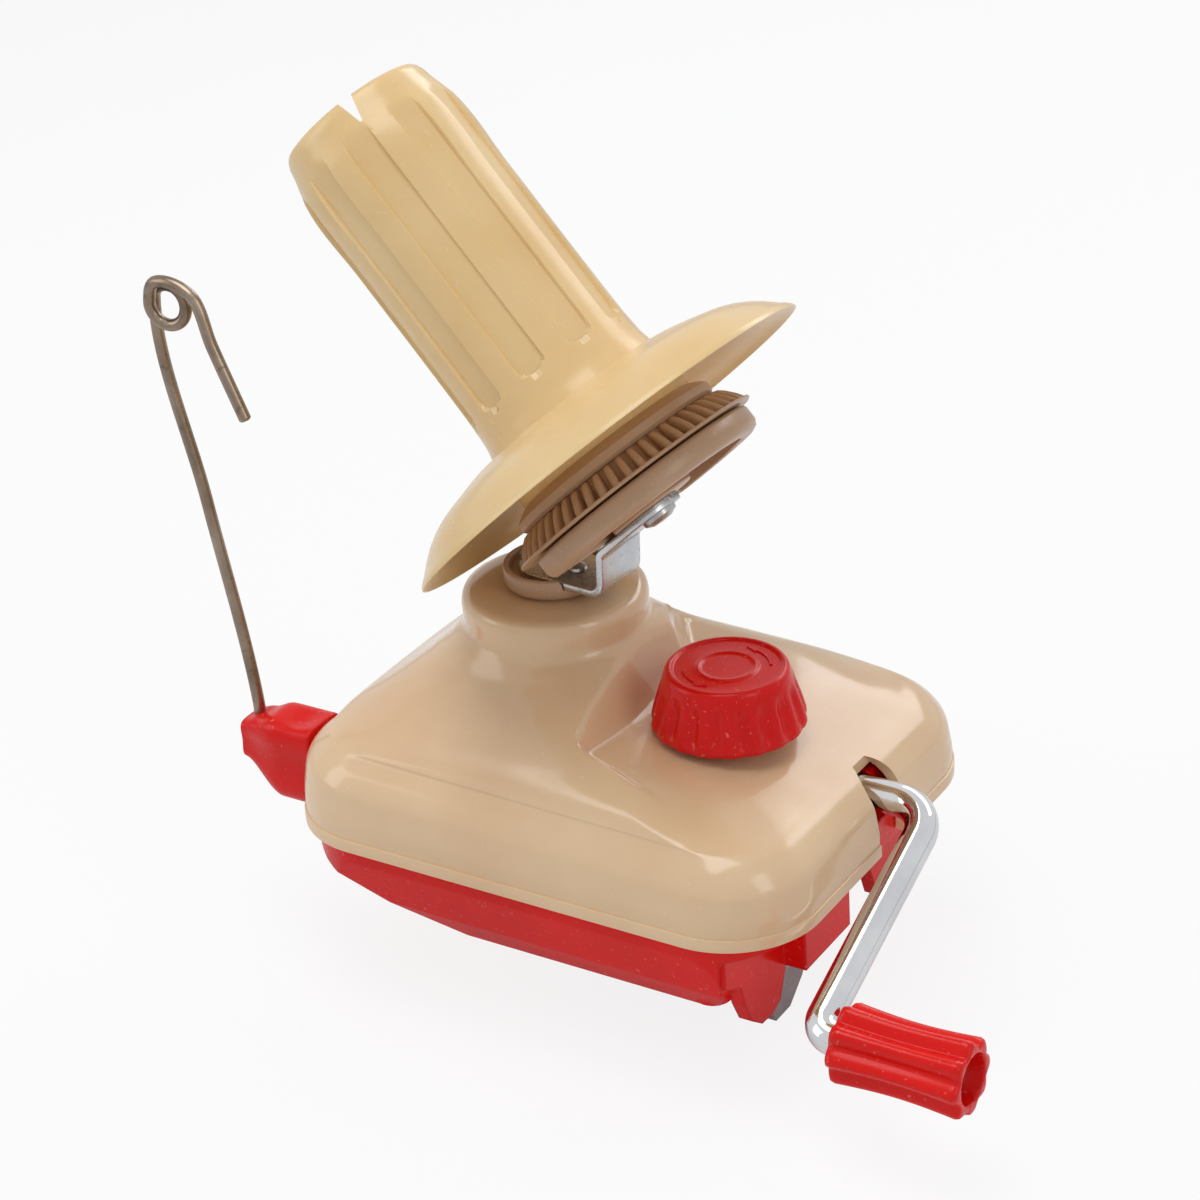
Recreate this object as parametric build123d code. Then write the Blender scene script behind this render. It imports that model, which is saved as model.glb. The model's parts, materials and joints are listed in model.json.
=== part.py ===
"""Hand-cranked yarn cone winder.

A crank turns a crown gear inside a two-part plastic housing. The crown gear turns a pinion on
a hollow shaft, and the shaft carries a bent steel strap. The strap holds a tilted spool. A gear
under the spool rolls round a fixed pinion on the tower's centre post, so the spool turns on its
own axis while the strap swings it round the tower. A screw clamp holds the housing on a table.

Millimetres. The origin is the middle of the seat that rests on the table top. +X points to the
crank, +Z up. A "rise" is a height above the shell's rim.
"""
import os
from math import atan, cos, degrees, pi, radians, sin, tan

from build123d import *

os.makedirs("parts", exist_ok=True)

# ------------------------------------------------------------------ driving sizes
# clearances
RUN_GAP = 0.05  # radial, between a shaft and what it turns in
SLIP_GAP = 0.3  # between parts that pass each other
SEAT_GAP = 0.02  # between parts that are pressed together

# housing
SHELL_LENGTH = 138.0
SHELL_WIDTH = 110.4
SHELL_CORNER = 23.0
SHELL_WALL = 2.2
SEAT_TO_RIM = 22.0
BAND_HEIGHT = 3.0
BAND_STEP = 0.5
EDGE_RISE = 17.8  # middle of the rounded top edge
EDGE_TILT = 1.2  # the top edge falls towards the crank
BOSS_R = 22.4
BOSS_RISE = 52.5
BOSS_ROUND = 2.5
TOWER_X = -18.0
TOWER_Y = 0.0
DECK_RISE = 28.3  # at the foot of the neck
DECK_FALL = 4.3  # slope of the deck, degrees
DECK_FLARE = 32.0  # lean of the deck's rim
HULL_WALL = 2.4
HULL_LIP = 6.0  # how far the hull tucks inside the shell
SEAT_START_X = -20.0
HULL_END_X = 53.0
EAR_THICK = 3.6
SADDLE_WALLS = ((54.5, 56.5, 16.9), (58.0, 60.5, 15.2))  # (low x, high x, top's rise)

# crank
CRANK_Y = 5.0
CRANK_RISE = 12.4
ROD_R = 4.0
ARM_X = 79.5
ARM_LENGTH = 65.0
ARM_DROP = 23.0  # degrees below level at rest
UPPER_BEND = 9.0
LOWER_BEND = 5.0
GRIP_LENGTH = 32.0
GRIP_R = 9.5
GRIP_LOBES = 8
GRIP_RECESS = 7.0
SPIGOT_R = 2.5
OUTER_WEB_X = (47.0, 51.0)
INNER_WEB_X = (9.0, 13.0)
NOTCH_WIDTH = 12.5
NOTCH_RISE = 20.8

# first gear pair: crown gear on the crank, pinion on the hollow shaft
DRIVE_MODULE = 0.95
PINION_TEETH = 12
CROWN_TEETH = 60
CROWN_FACE = 4.2
CROWN_DISC = 4.0
CROWN_PIN_R = 1.2

# tower
POST_R = 2.5
TUBE_R = 4.0
SHAFT_R = 4.0
BUSH_R = 6.0
CRANK_BUSH_R = 5.2
POST_RISE = 61.0
PINION_RISE = 37.7  # underside of the drive pinion
SOCKET_TOP = 13.0  # height of the socket that holds the post
CUP_R = 12.0
CUP_HEIGHT = 5.3
CUP_FLOOR = 2.8
CUP_WALL = 1.6

# strap
STRAP_THICK = 2.0
STRAP_WIDTH = 16.0
STRAP_REACH = 19.0  # from the tower axis to the middle of the web
STRAP_BEND = 3.0
STRAP_TIP = 6.0  # how far the seat runs past the axle
RIVET_R = 1.3
RIVET_PLACES = (-7.2, 7.2)

# spool, measured along its own axis from the point where it crosses the tower axis
REST_TURN = -4.0
TILT = 44.0
CROSSING_RISE = 110.8
SPOOL_R = 21.7
SPOOL_WALL = 2.0
SPOOL_TOP = 71.5
SPOOL_TOP_R = 18.5
SPOOL_SHOULDER = 62.0
SPOOL_FOOT = -12.5
SPOOL_FOOT_R = 24.0
RIM_T = -25.5
RIM_R = 57.0
SKIRT_R = 23.7
SKIRT_END = -27.7
CHANNELS = 10
CHANNEL_WIDTH = 7.0
CHANNEL_DEPTH = 1.0
CHANNEL_START = -4.5
CHANNEL_END = 57.0
SLOT_WIDTH = 5.0
SLOT_DEPTH = 9.0
AXLE_R = 2.5
AXLE_TOP = 31.0
CLIP_T = 28.6
SPOOL_BUSH_R = 5.0
HUB_WALL = 2.2

# second gear pair: gear under the spool, fixed pinion on the post
SPOOL_TEETH = 54
SUN_TEETH = 6
COLLAR_R = 27.3
COLLAR_END = -31.0
TEETH_END = -36.5
GEAR_END = -37.1
TOOTH_PLAY = 0.23
GEAR_SCREWS = 3
GEAR_SCREW_PLACE = 15.0
GEAR_SCREW_R = 1.4
SHROUD_R = 31.0
SHROUD_START = -37.6
SHROUD_END = -43.5
SHROUD_CHORD = 12.5
SUN_HEIGHT = 3.9
SUN_TOP_DEPTH = 41.9  # below the crossing point, just under the spool's collar
SUN_STEM_R = 1.6

# clamp
SCREW_X = 31.3
SCREW_Y = -4.5
SCREW_R = 3.0
SLEEVE_R = 5.0
KNOB_R = 18.4
KNOB_TOP_R = 14.1
KNOB_HEIGHT = 15.0
KNOB_RISE = 28.8
KNOB_FLUTES = 18
JAW_GAP = 7.3  # from the seat down to the jaw's pad at rest
JAW_THICK = 5.0
JAW_START_X = -8.0
JAW_END_X = 48.0
PAD_THICK = 1.6
NUT_HEIGHT = 3.6

# yarn guide
WIRE_R = 1.5
GUIDE_Y = -29.0
HOLDER_WIDTH = 18.0
HOLDER_HEIGHT = 25.5
HOLDER_LENGTH = 23.0
HOLDER_RISE = 5.7  # middle of the holder and of its pivot
PIVOT_R = 3.0
WIRE_SOCKET = 9.0
EYE_X = -99.9
EYE_RISE = 121.9
EYE_R = 4.65  # centreline of the eye's turn

# screws that hold the shells together
SCREW_PLACES = ((-46.0, -34.0), (-46.0, 34.0), (46.0, -42.0), (46.0, 42.0))
PILLAR_R = 4.6
SHELL_SCREW_R = 1.5

# ------------------------------------------------------------------ worked-out sizes
rim_z = SEAT_TO_RIM
crank_z = rim_z + CRANK_RISE
crossing_z = rim_z + CROSSING_RISE
boss_z = rim_z + BOSS_RISE
bore_inset = SHELL_WALL + BAND_STEP
cup_z = boss_z + 0.7
holder_z = rim_z + HOLDER_RISE
cup_floor_z = cup_z + CUP_FLOOR
pinion_r = DRIVE_MODULE * PINION_TEETH / 2
crown_r = DRIVE_MODULE * CROWN_TEETH / 2
pinion_z = rim_z + PINION_RISE
mesh_x = TOWER_X + pinion_r
drive_addendum = DRIVE_MODULE
drive_dedendum = 1.15 * DRIVE_MODULE

tower = Pos(TOWER_X, TOWER_Y, 0)
carrier = tower * Rot(0, 0, REST_TURN)
spool_axis = carrier * Pos(0, 0, crossing_z) * Rot(0, -TILT, 0)


# ------------------------------------------------------------------ helpers
def mix(a, b, share):
    return a + (b - a) * share


def rod(radius, low, high):
    """Upright round bar between two heights."""
    return Pos(0, 0, low) * Cylinder(radius, high - low, align=(Align.CENTER, Align.CENTER, Align.MIN))


def tube(outer, inner, low, high):
    return rod(outer, low, high) - rod(inner, low - 1, high + 1)


def along_x(shape):
    """Turns an upright shape so that its own up points to +X."""
    return Rot(0, 90, 0) * shape


def block(x, y, z):
    """Box from three (low, high) pairs."""
    size = [high - low for low, high in (x, y, z)]
    middle = [(high + low) / 2 for low, high in (x, y, z)]
    return Pos(*middle) * Box(*size)


def turned(points):
    """Solid of revolution about Z from (radius, height) points."""
    outline = make_face(Polyline([(r, 0, z) for r, z in points], close=True))
    return revolve(outline, Axis.Z)


def around(shape, count, start=0.0):
    """Copies of a shape, evenly spaced about Z."""
    return [Rot(0, 0, start + 360 * k / count) * shape for k in range(count)]


def prism_y(points, half_width):
    """Solid with an (x, z) outline, spread both ways along Y."""
    outline = make_face(Polyline([(x, 0, z) for x, z in points], close=True))
    return extrude(outline, amount=half_width, both=True)


def prism_x(points, low, high):
    """Solid with a (y, z) outline between two x places."""
    outline = make_face(Polyline([(low, y, z) for y, z in points], close=True))
    return extrude(outline, amount=high - low, dir=(1, 0, 0))


def save(shape, name):
    export_step(shape, f"parts/{name}.step")


# ------------------------------------------------------------------ housing
# (share of the way from the rim's outline to the boss, rise) of the roof and neck
ROOF = ((0.30, 24.0), (0.484, 28.0), (0.65, 32.0), (0.80, 36.0), (0.924, 40.0), (1.0, 44.0))
# (inset, rise below the edge) of the rounded top edge
EDGE = ((1.0, -7.3), (1.9, -3.2), (4.0, 0.0), (7.0, 2.6))


def ring(share, inset, rise, tilt):
    """Rounded outline part of the way from the rim to the boss, leaning by tilt degrees."""
    half_x = mix(SHELL_LENGTH / 2, BOSS_R, share) - inset
    half_y = mix(SHELL_WIDTH / 2, BOSS_R, share) - inset
    corner = min(mix(SHELL_CORNER, BOSS_R, share) - inset, half_x - 0.3, half_y - 0.3)
    lean = radians(tilt)
    place = Plane(
        origin=(TOWER_X * share, TOWER_Y * share, rim_z + rise),
        x_dir=(cos(lean), 0, -sin(lean)),
        z_dir=(sin(lean), 0, cos(lean)),
    )
    return (place * RectangleRounded(2 * half_x, 2 * half_y, corner)).face()


def roof_form(wall, start_rise):
    """The shell's closed form without its deck, drawn in by a wall's thickness."""
    rings = [ring(0, BAND_STEP + wall, rise, 0) for rise in (start_rise, HULL_LIP + 1.0)]
    for inset, drop in EDGE:
        sunk = wall if drop > 0 else 0.6 * wall
        rings.append(ring(0, inset + wall, EDGE_RISE + drop - sunk, EDGE_TILT))
    for share, rise in ROOF:
        rings.append(ring(share, wall, rise - wall, EDGE_TILT * (1 - share)))
    return loft(rings, ruled=True)


def deck_cutter(wall):
    """What the sloping deck takes off the roof; grown by a wall for the inside."""
    neck_x = TOWER_X + BOSS_R + 6.0
    points = [
        (neck_x - 1.5 - wall, -31.5 - wall),
        (HULL_END_X + 7.0, -45.0 - wall),
        (SHELL_LENGTH, -45.0 - wall),
        (SHELL_LENGTH, SHELL_WIDTH),
        (neck_x - 16.0 - wall, SHELL_WIDTH),
        (neck_x - 13.0 - wall, 33.0),
        (neck_x - wall, 15.0),
        (neck_x - wall, -14.0),
    ]
    fall = radians(DECK_FALL)
    level = rim_z + DECK_RISE - wall
    place = Plane(
        origin=(neck_x, 0, level),
        x_dir=(cos(fall), 0, -sin(fall)),
        z_dir=(sin(fall), 0, cos(fall)),
    )
    outline = place * make_face(Polyline([(x - neck_x, y) for x, y in points], close=True))
    return extrude(outline, amount=30, taper=-DECK_FLARE)


def deck_z(x):
    """Height of the deck's face at a place along the shell."""
    neck_x = TOWER_X + BOSS_R + 6.0
    return rim_z + DECK_RISE - (x - neck_x) * tan(radians(DECK_FALL))


def upper_shell():
    band = extrude(RectangleRounded(SHELL_LENGTH, SHELL_WIDTH, SHELL_CORNER), amount=BAND_HEIGHT)
    band = Pos(0, 0, rim_z) * band
    outer = (roof_form(0, 0) - deck_cutter(0)) + band
    boss = rod(BOSS_R, rim_z + 40, boss_z)
    boss = fillet(boss.edges().group_by(Axis.Z)[-1], BOSS_ROUND)
    outer += tower * boss
    inner = roof_form(SHELL_WALL, -1) - deck_cutter(SHELL_WALL)
    inner += tower * rod(BOSS_R - SHELL_WALL, rim_z + 30, boss_z - 3.0)
    shell = outer - inner
    for x, y in SCREW_PLACES:
        shell += (Pos(x, y, 0) * rod(PILLAR_R - 0.4, rim_z + 9.3, rim_z + 40)) & outer
        shell -= Pos(x, y, 0) * rod(SHELL_SCREW_R - 0.1, rim_z + 8, rim_z + 18)
    bush_guide = rod(BUSH_R + 2.5, boss_z - 9.0, boss_z - 2.0) - rod(BUSH_R + SEAT_GAP, 0, boss_z + 9)
    shell += tower * bush_guide
    shell -= tower * rod(BUSH_R + SEAT_GAP, boss_z - 20, boss_z + 9)
    knob_seat = tube(KNOB_R - 7.0, SLEEVE_R + SLIP_GAP, deck_z(SCREW_X) - 2.0, rim_z + KNOB_RISE - 0.6)
    shell += Pos(SCREW_X, SCREW_Y, 0) * knob_seat
    shell -= Pos(SCREW_X, SCREW_Y, 0) * rod(SLEEVE_R + SLIP_GAP, rim_z, boss_z)
    notch_top = rim_z + NOTCH_RISE - NOTCH_WIDTH / 2
    notch_x = (SHELL_LENGTH / 2 - 9.0, SHELL_LENGTH)
    half = NOTCH_WIDTH / 2
    shell -= block(notch_x, (CRANK_Y - half, CRANK_Y + half), (rim_z - 1, notch_top))
    shell -= Pos(0, CRANK_Y, notch_top) * along_x(rod(half, *notch_x))
    shell -= Pos(0, GUIDE_Y, rim_z + HOLDER_RISE) * along_x(rod(PIVOT_R + SEAT_GAP, -SHELL_LENGTH, -40))
    return shell


def hull_form(wall):
    """The lower shell's closed form: side, front and plan outlines, drawn in by a wall."""
    half_x = SHELL_LENGTH / 2 - bore_inset - SLIP_GAP
    half_y = SHELL_WIDTH / 2 - bore_inset - SLIP_GAP
    top = rim_z + HULL_LIP + 2 * wall
    side = [
        (-half_x, top),
        (-half_x, rim_z - 2),
        (-half_x + 9, rim_z - 8),
        (SEAT_START_X, 0),
        (HULL_END_X - 8, 0),
        (HULL_END_X - 2.5, 2.5),
        (HULL_END_X, 8),
        (HULL_END_X, rim_z - 5),
        (half_x, rim_z - 2),
        (half_x, top),
    ]
    front = [
        (-half_y, top),
        (-half_y, rim_z - 5),
        (-half_y + 2.2, 7),
        (-half_y + 7.2, 0),
        (half_y - 7.2, 0),
        (half_y - 2.2, 7),
        (half_y, rim_z - 5),
        (half_y, top),
    ]
    side_face = make_face(Polyline([(x, 0, z) for x, z in side], close=True))
    front_face = make_face(Polyline([(0, y, z) for y, z in front], close=True))
    corner = SHELL_CORNER - bore_inset - SLIP_GAP
    plan = RectangleRounded(2 * (half_x - wall), 2 * (half_y - wall), corner - wall)
    if wall:
        side_face = offset(side_face, amount=-wall, kind=Kind.INTERSECTION)
        front_face = offset(front_face, amount=-wall, kind=Kind.INTERSECTION)
    form = extrude(side_face, amount=SHELL_WIDTH, both=True)
    form &= extrude(front_face, amount=SHELL_LENGTH, both=True)
    return form & extrude(plan, amount=4 * SEAT_TO_RIM, both=True)


def hull_floor_z(x):
    """Height of the hull's outer face under a place along it."""
    if x >= SEAT_START_X:
        return 0.0
    foot_x = -SHELL_LENGTH / 2 + bore_inset + SLIP_GAP + 9
    return (rim_z - 8) * (SEAT_START_X - x) / (SEAT_START_X - foot_x)


def bearing_web(x, reach):
    """Upright plate across the crank shaft, from the hull's floor to above the shaft."""
    top = crank_z + CRANK_BUSH_R + 1.2
    return block(x, reach, (hull_floor_z(x[0]) + HULL_WALL / 2, top))


def lower_shell():
    hull = hull_form(0)
    inside = hull_form(HULL_WALL)
    hull -= inside
    # end block under the crank, seen below the rim
    hull += block((HULL_END_X - 3, 60.0), (-23.0, -1.0), (0.5, rim_z - 1))
    # webs that carry the crank shaft
    for web_x in (OUTER_WEB_X, INNER_WEB_X):
        hull += bearing_web(web_x, (CRANK_Y - 9, CRANK_Y + 9))
        hull -= Pos(0, CRANK_Y, crank_z) * along_x(rod(CRANK_BUSH_R + SEAT_GAP, web_x[0] - 1, web_x[1] + 1))
    # two saddle walls behind the notch, and the ledge under the crank
    shelf_z = rim_z - 2.4
    for low_x, high_x, top in SADDLE_WALLS:
        hull += block((low_x, high_x), (CRANK_Y - 8, CRANK_Y + 16), (shelf_z, rim_z + top))
    ledge_x = (SADDLE_WALLS[1][0], SHELL_LENGTH / 2 - bore_inset - SLIP_GAP - 1)
    hull += block(ledge_x, (CRANK_Y - 8, CRANK_Y + 8), (shelf_z, rim_z + HULL_LIP))
    hull -= Pos(0, CRANK_Y, crank_z) * along_x(rod(ROD_R + 0.6, HULL_END_X + 0.5, SHELL_LENGTH))
    # room for the head of the guide's pivot
    hull -= Pos(0, GUIDE_Y, holder_z) * along_x(rod(PIVOT_R + 2.2, -SHELL_LENGTH, -SHELL_LENGTH / 2 + 9.0))
    # ears that keep the jaw from turning
    ear = [
        (-14.0, rim_z - 2), (-24.9, -8.0), (-29.0, -9.8), (-34.0, -9.4), (-38.5, -6.0),
        (-41.5, 0.0), (-43.0, 6.0), (-50.0, 9.5), (-50.0, rim_z - 2),
    ]
    for way in (1, -1):
        points = [(way * y, z) for y, z in ear]
        hull += prism_x(points, HULL_END_X - EAR_THICK + 1.0, HULL_END_X + 1.0)
    # socket of the centre post and boss of the thrust tube
    hull += tower * tube(TUBE_R + 0.4, POST_R + SEAT_GAP, HULL_WALL / 2, SOCKET_TOP)
    # way of the clamp's screw and keel rib
    hull += Pos(SCREW_X, SCREW_Y, 0) * rod(SCREW_R + 4.0, HULL_WALL / 2, 16.0)
    hull -= Pos(SCREW_X, SCREW_Y, 0) * rod(SCREW_R + SLIP_GAP, -20, 60)
    # pillars of the shell screws
    for x, y in SCREW_PLACES:
        low = hull_floor_z(x)
        hull += Pos(x, y, 0) * rod(PILLAR_R, low + HULL_WALL / 2, rim_z + 9.0)
        hull -= Pos(x, y, 0) * rod(SHELL_SCREW_R + 0.2, low - 20, rim_z + 12)
        hull -= Pos(x, y, 0) * rod(SHELL_SCREW_R + 1.7, low - 20, rim_z - 4.0)
    return hull


def shell_screws():
    """Pan-head screws, one in each pillar."""
    one = rod(SHELL_SCREW_R - 0.12, rim_z - 5.0, rim_z + 17)
    one += rod(SHELL_SCREW_R + 1.4, rim_z - 6.0, rim_z - 4.0 - SEAT_GAP)
    one -= block((-3, 3), (-0.4, 0.4), (rim_z - 6.5, rim_z - 5.2))
    return Compound([Pos(x, y, 0) * one for x, y in SCREW_PLACES])


# ------------------------------------------------------------------ crank and crown gear
crown_back_x = mesh_x + drive_dedendum + CROWN_DISC
shaft_end_x = mesh_x + drive_dedendum + 1.5
hub_end_x = INNER_WEB_X[0] - 2.5
crown_pin_x = (crown_back_x + hub_end_x) / 2
arm_turn = radians(ARM_DROP)
arm_end_y = CRANK_Y - ARM_LENGTH * cos(arm_turn)
arm_end_z = crank_z - ARM_LENGTH * sin(arm_turn)
grip_x = ARM_X + LOWER_BEND + 1.2
spigot_end_x = grip_x + GRIP_LENGTH - GRIP_RECESS + 2.4


def crank_rod():
    path = FilletPolyline(
        (shaft_end_x, CRANK_Y, crank_z),
        (ARM_X, CRANK_Y, crank_z),
        (ARM_X, arm_end_y, arm_end_z),
        (grip_x, arm_end_y, arm_end_z),
        radius=[UPPER_BEND, LOWER_BEND],
    )
    bar = sweep(Plane(path @ 0, z_dir=path % 0) * Circle(ROD_R), path=path)
    bar += Pos(0, arm_end_y, arm_end_z) * along_x(rod(SPIGOT_R, grip_x - 0.5, spigot_end_x))
    bar -= Pos(crown_pin_x, CRANK_Y, crank_z) * rod(CROWN_PIN_R + SEAT_GAP, -ROD_R - 1, ROD_R + 1)
    return bar


def crown_gear():
    face_x = mesh_x + drive_dedendum
    outer = crown_r + CROWN_FACE / 2 - 0.6
    disc = rod(outer + 0.4, face_x, crown_back_x) + rod(ROD_R + 4.0, face_x, hub_end_x)
    disc -= tube(outer - CROWN_FACE - 1.0, ROD_R + 5.5, face_x + 2.0, crown_back_x + 1)
    middle = crown_r - 0.9
    tip_x = mesh_x - drive_addendum + 0.15
    # in the gear's own frame up is +X, so the world's +Z is its -X and the world's Y its Y
    tooth = block(
        (-middle - CROWN_FACE / 2, -middle + CROWN_FACE / 2),
        (-CRANK_Y - 0.5, -CRANK_Y + 0.5),
        (tip_x, face_x + 0.3),
    )
    gear = disc + around(tooth, CROWN_TEETH)
    gear -= rod(ROD_R + SEAT_GAP, shaft_end_x - SEAT_GAP, hub_end_x + 1)
    gear = Pos(0, CRANK_Y, crank_z) * along_x(gear)
    return gear - Pos(crown_pin_x, CRANK_Y, crank_z) * rod(CROWN_PIN_R + SEAT_GAP, -12, 12)


def crown_pin():
    return Pos(crown_pin_x, CRANK_Y, crank_z) * rod(CROWN_PIN_R, -ROD_R - 3.8, ROD_R + 3.8)


def shaft_bush(web_x, flange_side):
    """Flanged plastic bush in a bearing web; the flange faces the crank or the gear."""
    low, high = web_x
    start = high + SEAT_GAP if flange_side > 0 else low - 1.0 - SEAT_GAP
    bush = tube(CRANK_BUSH_R, ROD_R + RUN_GAP, min(low, start), max(high, start + 1.0))
    bush += tube(CRANK_BUSH_R + 1.4, ROD_R + RUN_GAP, start, start + 1.0)
    return Pos(0, CRANK_Y, crank_z) * along_x(bush)


def shaft_clip():
    """Open spring clip in front of the inner bush."""
    low = INNER_WEB_X[1] + 1.4
    clip = tube(ROD_R + 2.6, ROD_R + SEAT_GAP, low, low + 1.0)
    clip -= block((0, 12), (-2.6, 2.6), (low - 1, low + 2))
    return Pos(0, CRANK_Y, crank_z) * along_x(clip)


def grip():
    """Lobed handle that turns on the crank's spigot."""
    crest = GRIP_R
    valley = GRIP_R - 1.7
    steps = 4 * GRIP_LOBES
    points = []
    for k in range(steps):
        radius = (crest + valley) / 2 + (crest - valley) / 2 * cos(2 * pi * k * GRIP_LOBES / steps)
        points.append((radius * cos(2 * pi * k / steps), radius * sin(2 * pi * k / steps)))
    wave = make_face(Spline(points, periodic=True))
    body = extrude(wave, amount=GRIP_LENGTH)
    waist = turned([(0, 0), (crest - 0.6, 0), (crest, 1.5), (crest - 0.7, GRIP_LENGTH / 2),
                    (crest, GRIP_LENGTH - 1.5), (crest - 0.6, GRIP_LENGTH), (0, GRIP_LENGTH)])
    body &= waist
    body -= rod(SPIGOT_R + RUN_GAP, -1, GRIP_LENGTH + 1)
    body -= rod(GRIP_R - 3.6, GRIP_LENGTH - GRIP_RECESS, GRIP_LENGTH + 1)
    return Pos(grip_x + SLIP_GAP, arm_end_y, arm_end_z) * along_x(body)


def grip_washer():
    low = grip_x + SLIP_GAP + GRIP_LENGTH - GRIP_RECESS + 0.3
    washer = tube(SPIGOT_R + 1.9, SPIGOT_R + SEAT_GAP, low, low + 0.8)
    return Pos(0, arm_end_y, arm_end_z) * along_x(washer)


def grip_rivet():
    """Formed head on the spigot's end."""
    head = turned([(0, 0), (SPIGOT_R + 0.7, 0), (SPIGOT_R + 0.6, 0.6), (SPIGOT_R - 0.8, 1.5), (0, 1.8)])
    return Pos(spigot_end_x + SEAT_GAP, arm_end_y, arm_end_z) * along_x(head)


# ------------------------------------------------------------------ tower
def centre_post():
    post = rod(POST_R, HULL_WALL + 0.5, rim_z + POST_RISE)
    return tower * (post - rod(SUN_STEM_R + SEAT_GAP, rim_z + POST_RISE - 6, rim_z + POST_RISE + 1))


gear_ratio = SUN_TEETH / SPOOL_TEETH
sun_cone = atan(sin(radians(TILT)) / (1 / gear_ratio + cos(radians(TILT))))
gear_cone = radians(TILT) - sun_cone
cone_reach = -TEETH_END / cos(gear_cone)
bevel_module = 2 * -TEETH_END * tan(gear_cone) / SPOOL_TEETH
tip_cone = atan(bevel_module / cone_reach)
root_cone = atan(1.25 * bevel_module / cone_reach)


def tooth_section(height, half_cone, teeth):
    """Tooth outline across a bevel gear's axis at a signed height from the crossing point."""
    depth = abs(height)
    pitch = depth * tan(half_cone)
    tip = depth * tan(half_cone + tip_cone)
    root = depth * tan(half_cone - root_cone)
    half = pi * pitch / teeth / 2 - TOOTH_PLAY * depth / -TEETH_END
    points = [
        (root - 0.25, 1.3 * half), (root, 1.3 * half), (pitch, half), (tip, 0.45 * half),
        (tip, -0.45 * half), (pitch, -half), (root, -1.3 * half), (root - 0.25, -1.3 * half),
    ]
    return make_face(Polyline([(x, y, height) for x, y in points], close=True))


def sun_gear():
    """Fixed steel pinion with a stem in the post."""
    low = -SUN_TOP_DEPTH - SUN_HEIGHT
    high = -SUN_TOP_DEPTH
    core_low = abs(low) * tan(sun_cone - root_cone)
    core_high = abs(high) * tan(sun_cone - root_cone)
    gear = turned([(0, low), (core_low, low), (core_high, high), (0, high)])
    tooth = loft([tooth_section(height, sun_cone, SUN_TEETH) for height in (low, high)], ruled=True)
    gear += around(tooth, SUN_TEETH, 180 / SUN_TEETH)
    gear += rod(SUN_STEM_R, POST_RISE - CROSSING_RISE - 5.5, low + 0.2)
    return carrier * Pos(0, 0, crossing_z) * gear


def thrust_tube():
    return tower * tube(TUBE_R, POST_R + SEAT_GAP, SOCKET_TOP, pinion_z - 1.0)


def thrust_washer():
    return tower * tube(TUBE_R + 1.4, POST_R + RUN_GAP, pinion_z - 1.0 + SEAT_GAP, pinion_z - 0.3)


def drive_pinion():
    tip = pinion_r + drive_addendum
    root = pinion_r - drive_dedendum
    body = rod(root, 0, CROWN_FACE + 0.4)
    outline = make_face(Polyline([(root - 0.3, 0.7), (root, 0.7), (tip, 0.33), (tip, -0.33), (root, -0.7),
                                  (root - 0.3, -0.7)], close=True))
    body += around(extrude(outline, amount=CROWN_FACE + 0.4), PINION_TEETH, 180 / PINION_TEETH)
    body -= rod(SHAFT_R + SEAT_GAP, -1, CROWN_FACE + 2)
    return tower * Pos(0, 0, pinion_z) * body


def drive_shaft():
    return tower * tube(SHAFT_R, POST_R + RUN_GAP, pinion_z - 0.2, cup_floor_z)


def boss_bush():
    bush = tube(BUSH_R, SHAFT_R + RUN_GAP, boss_z - 9.0, boss_z + 0.5)
    bush += tube(BUSH_R + 3.0, SHAFT_R + RUN_GAP, boss_z + SEAT_GAP, boss_z + 0.5)
    return tower * bush


def carrier_cup():
    """Shallow dish on the shaft; its wall is open where the strap leaves."""
    cup = turned([
        (0, 0), (CUP_R - 1.0, 0), (CUP_R, 1.0), (CUP_R, CUP_HEIGHT - 0.4), (CUP_R - 0.4, CUP_HEIGHT),
        (CUP_R - CUP_WALL, CUP_HEIGHT), (CUP_R - CUP_WALL, CUP_FLOOR), (0, CUP_FLOOR),
    ])
    cup -= block((0, CUP_R + 1), (-STRAP_WIDTH / 2 - SLIP_GAP, STRAP_WIDTH / 2 + SLIP_GAP), (CUP_FLOOR, 20))
    cup -= rod(SHAFT_R + SEAT_GAP, -1, CUP_HEIGHT + 1)
    for x in RIVET_PLACES:
        cup -= Pos(x, 0, 0) * rod(RIVET_R + SEAT_GAP, -1, 20)
    return carrier * Pos(0, 0, cup_z) * cup


strap_z = cup_floor_z + STRAP_THICK / 2 + SEAT_GAP
strap_slope = radians(TILT)
strap_t = SHROUD_END - SEAT_GAP - STRAP_THICK / 2


def on_spool(e, t):
    """Carrier (x, z) of a place e across and t along the spool's axis."""
    x = e * cos(strap_slope) - t * sin(strap_slope)
    return x, crossing_z + e * sin(strap_slope) + t * cos(strap_slope)


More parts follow.
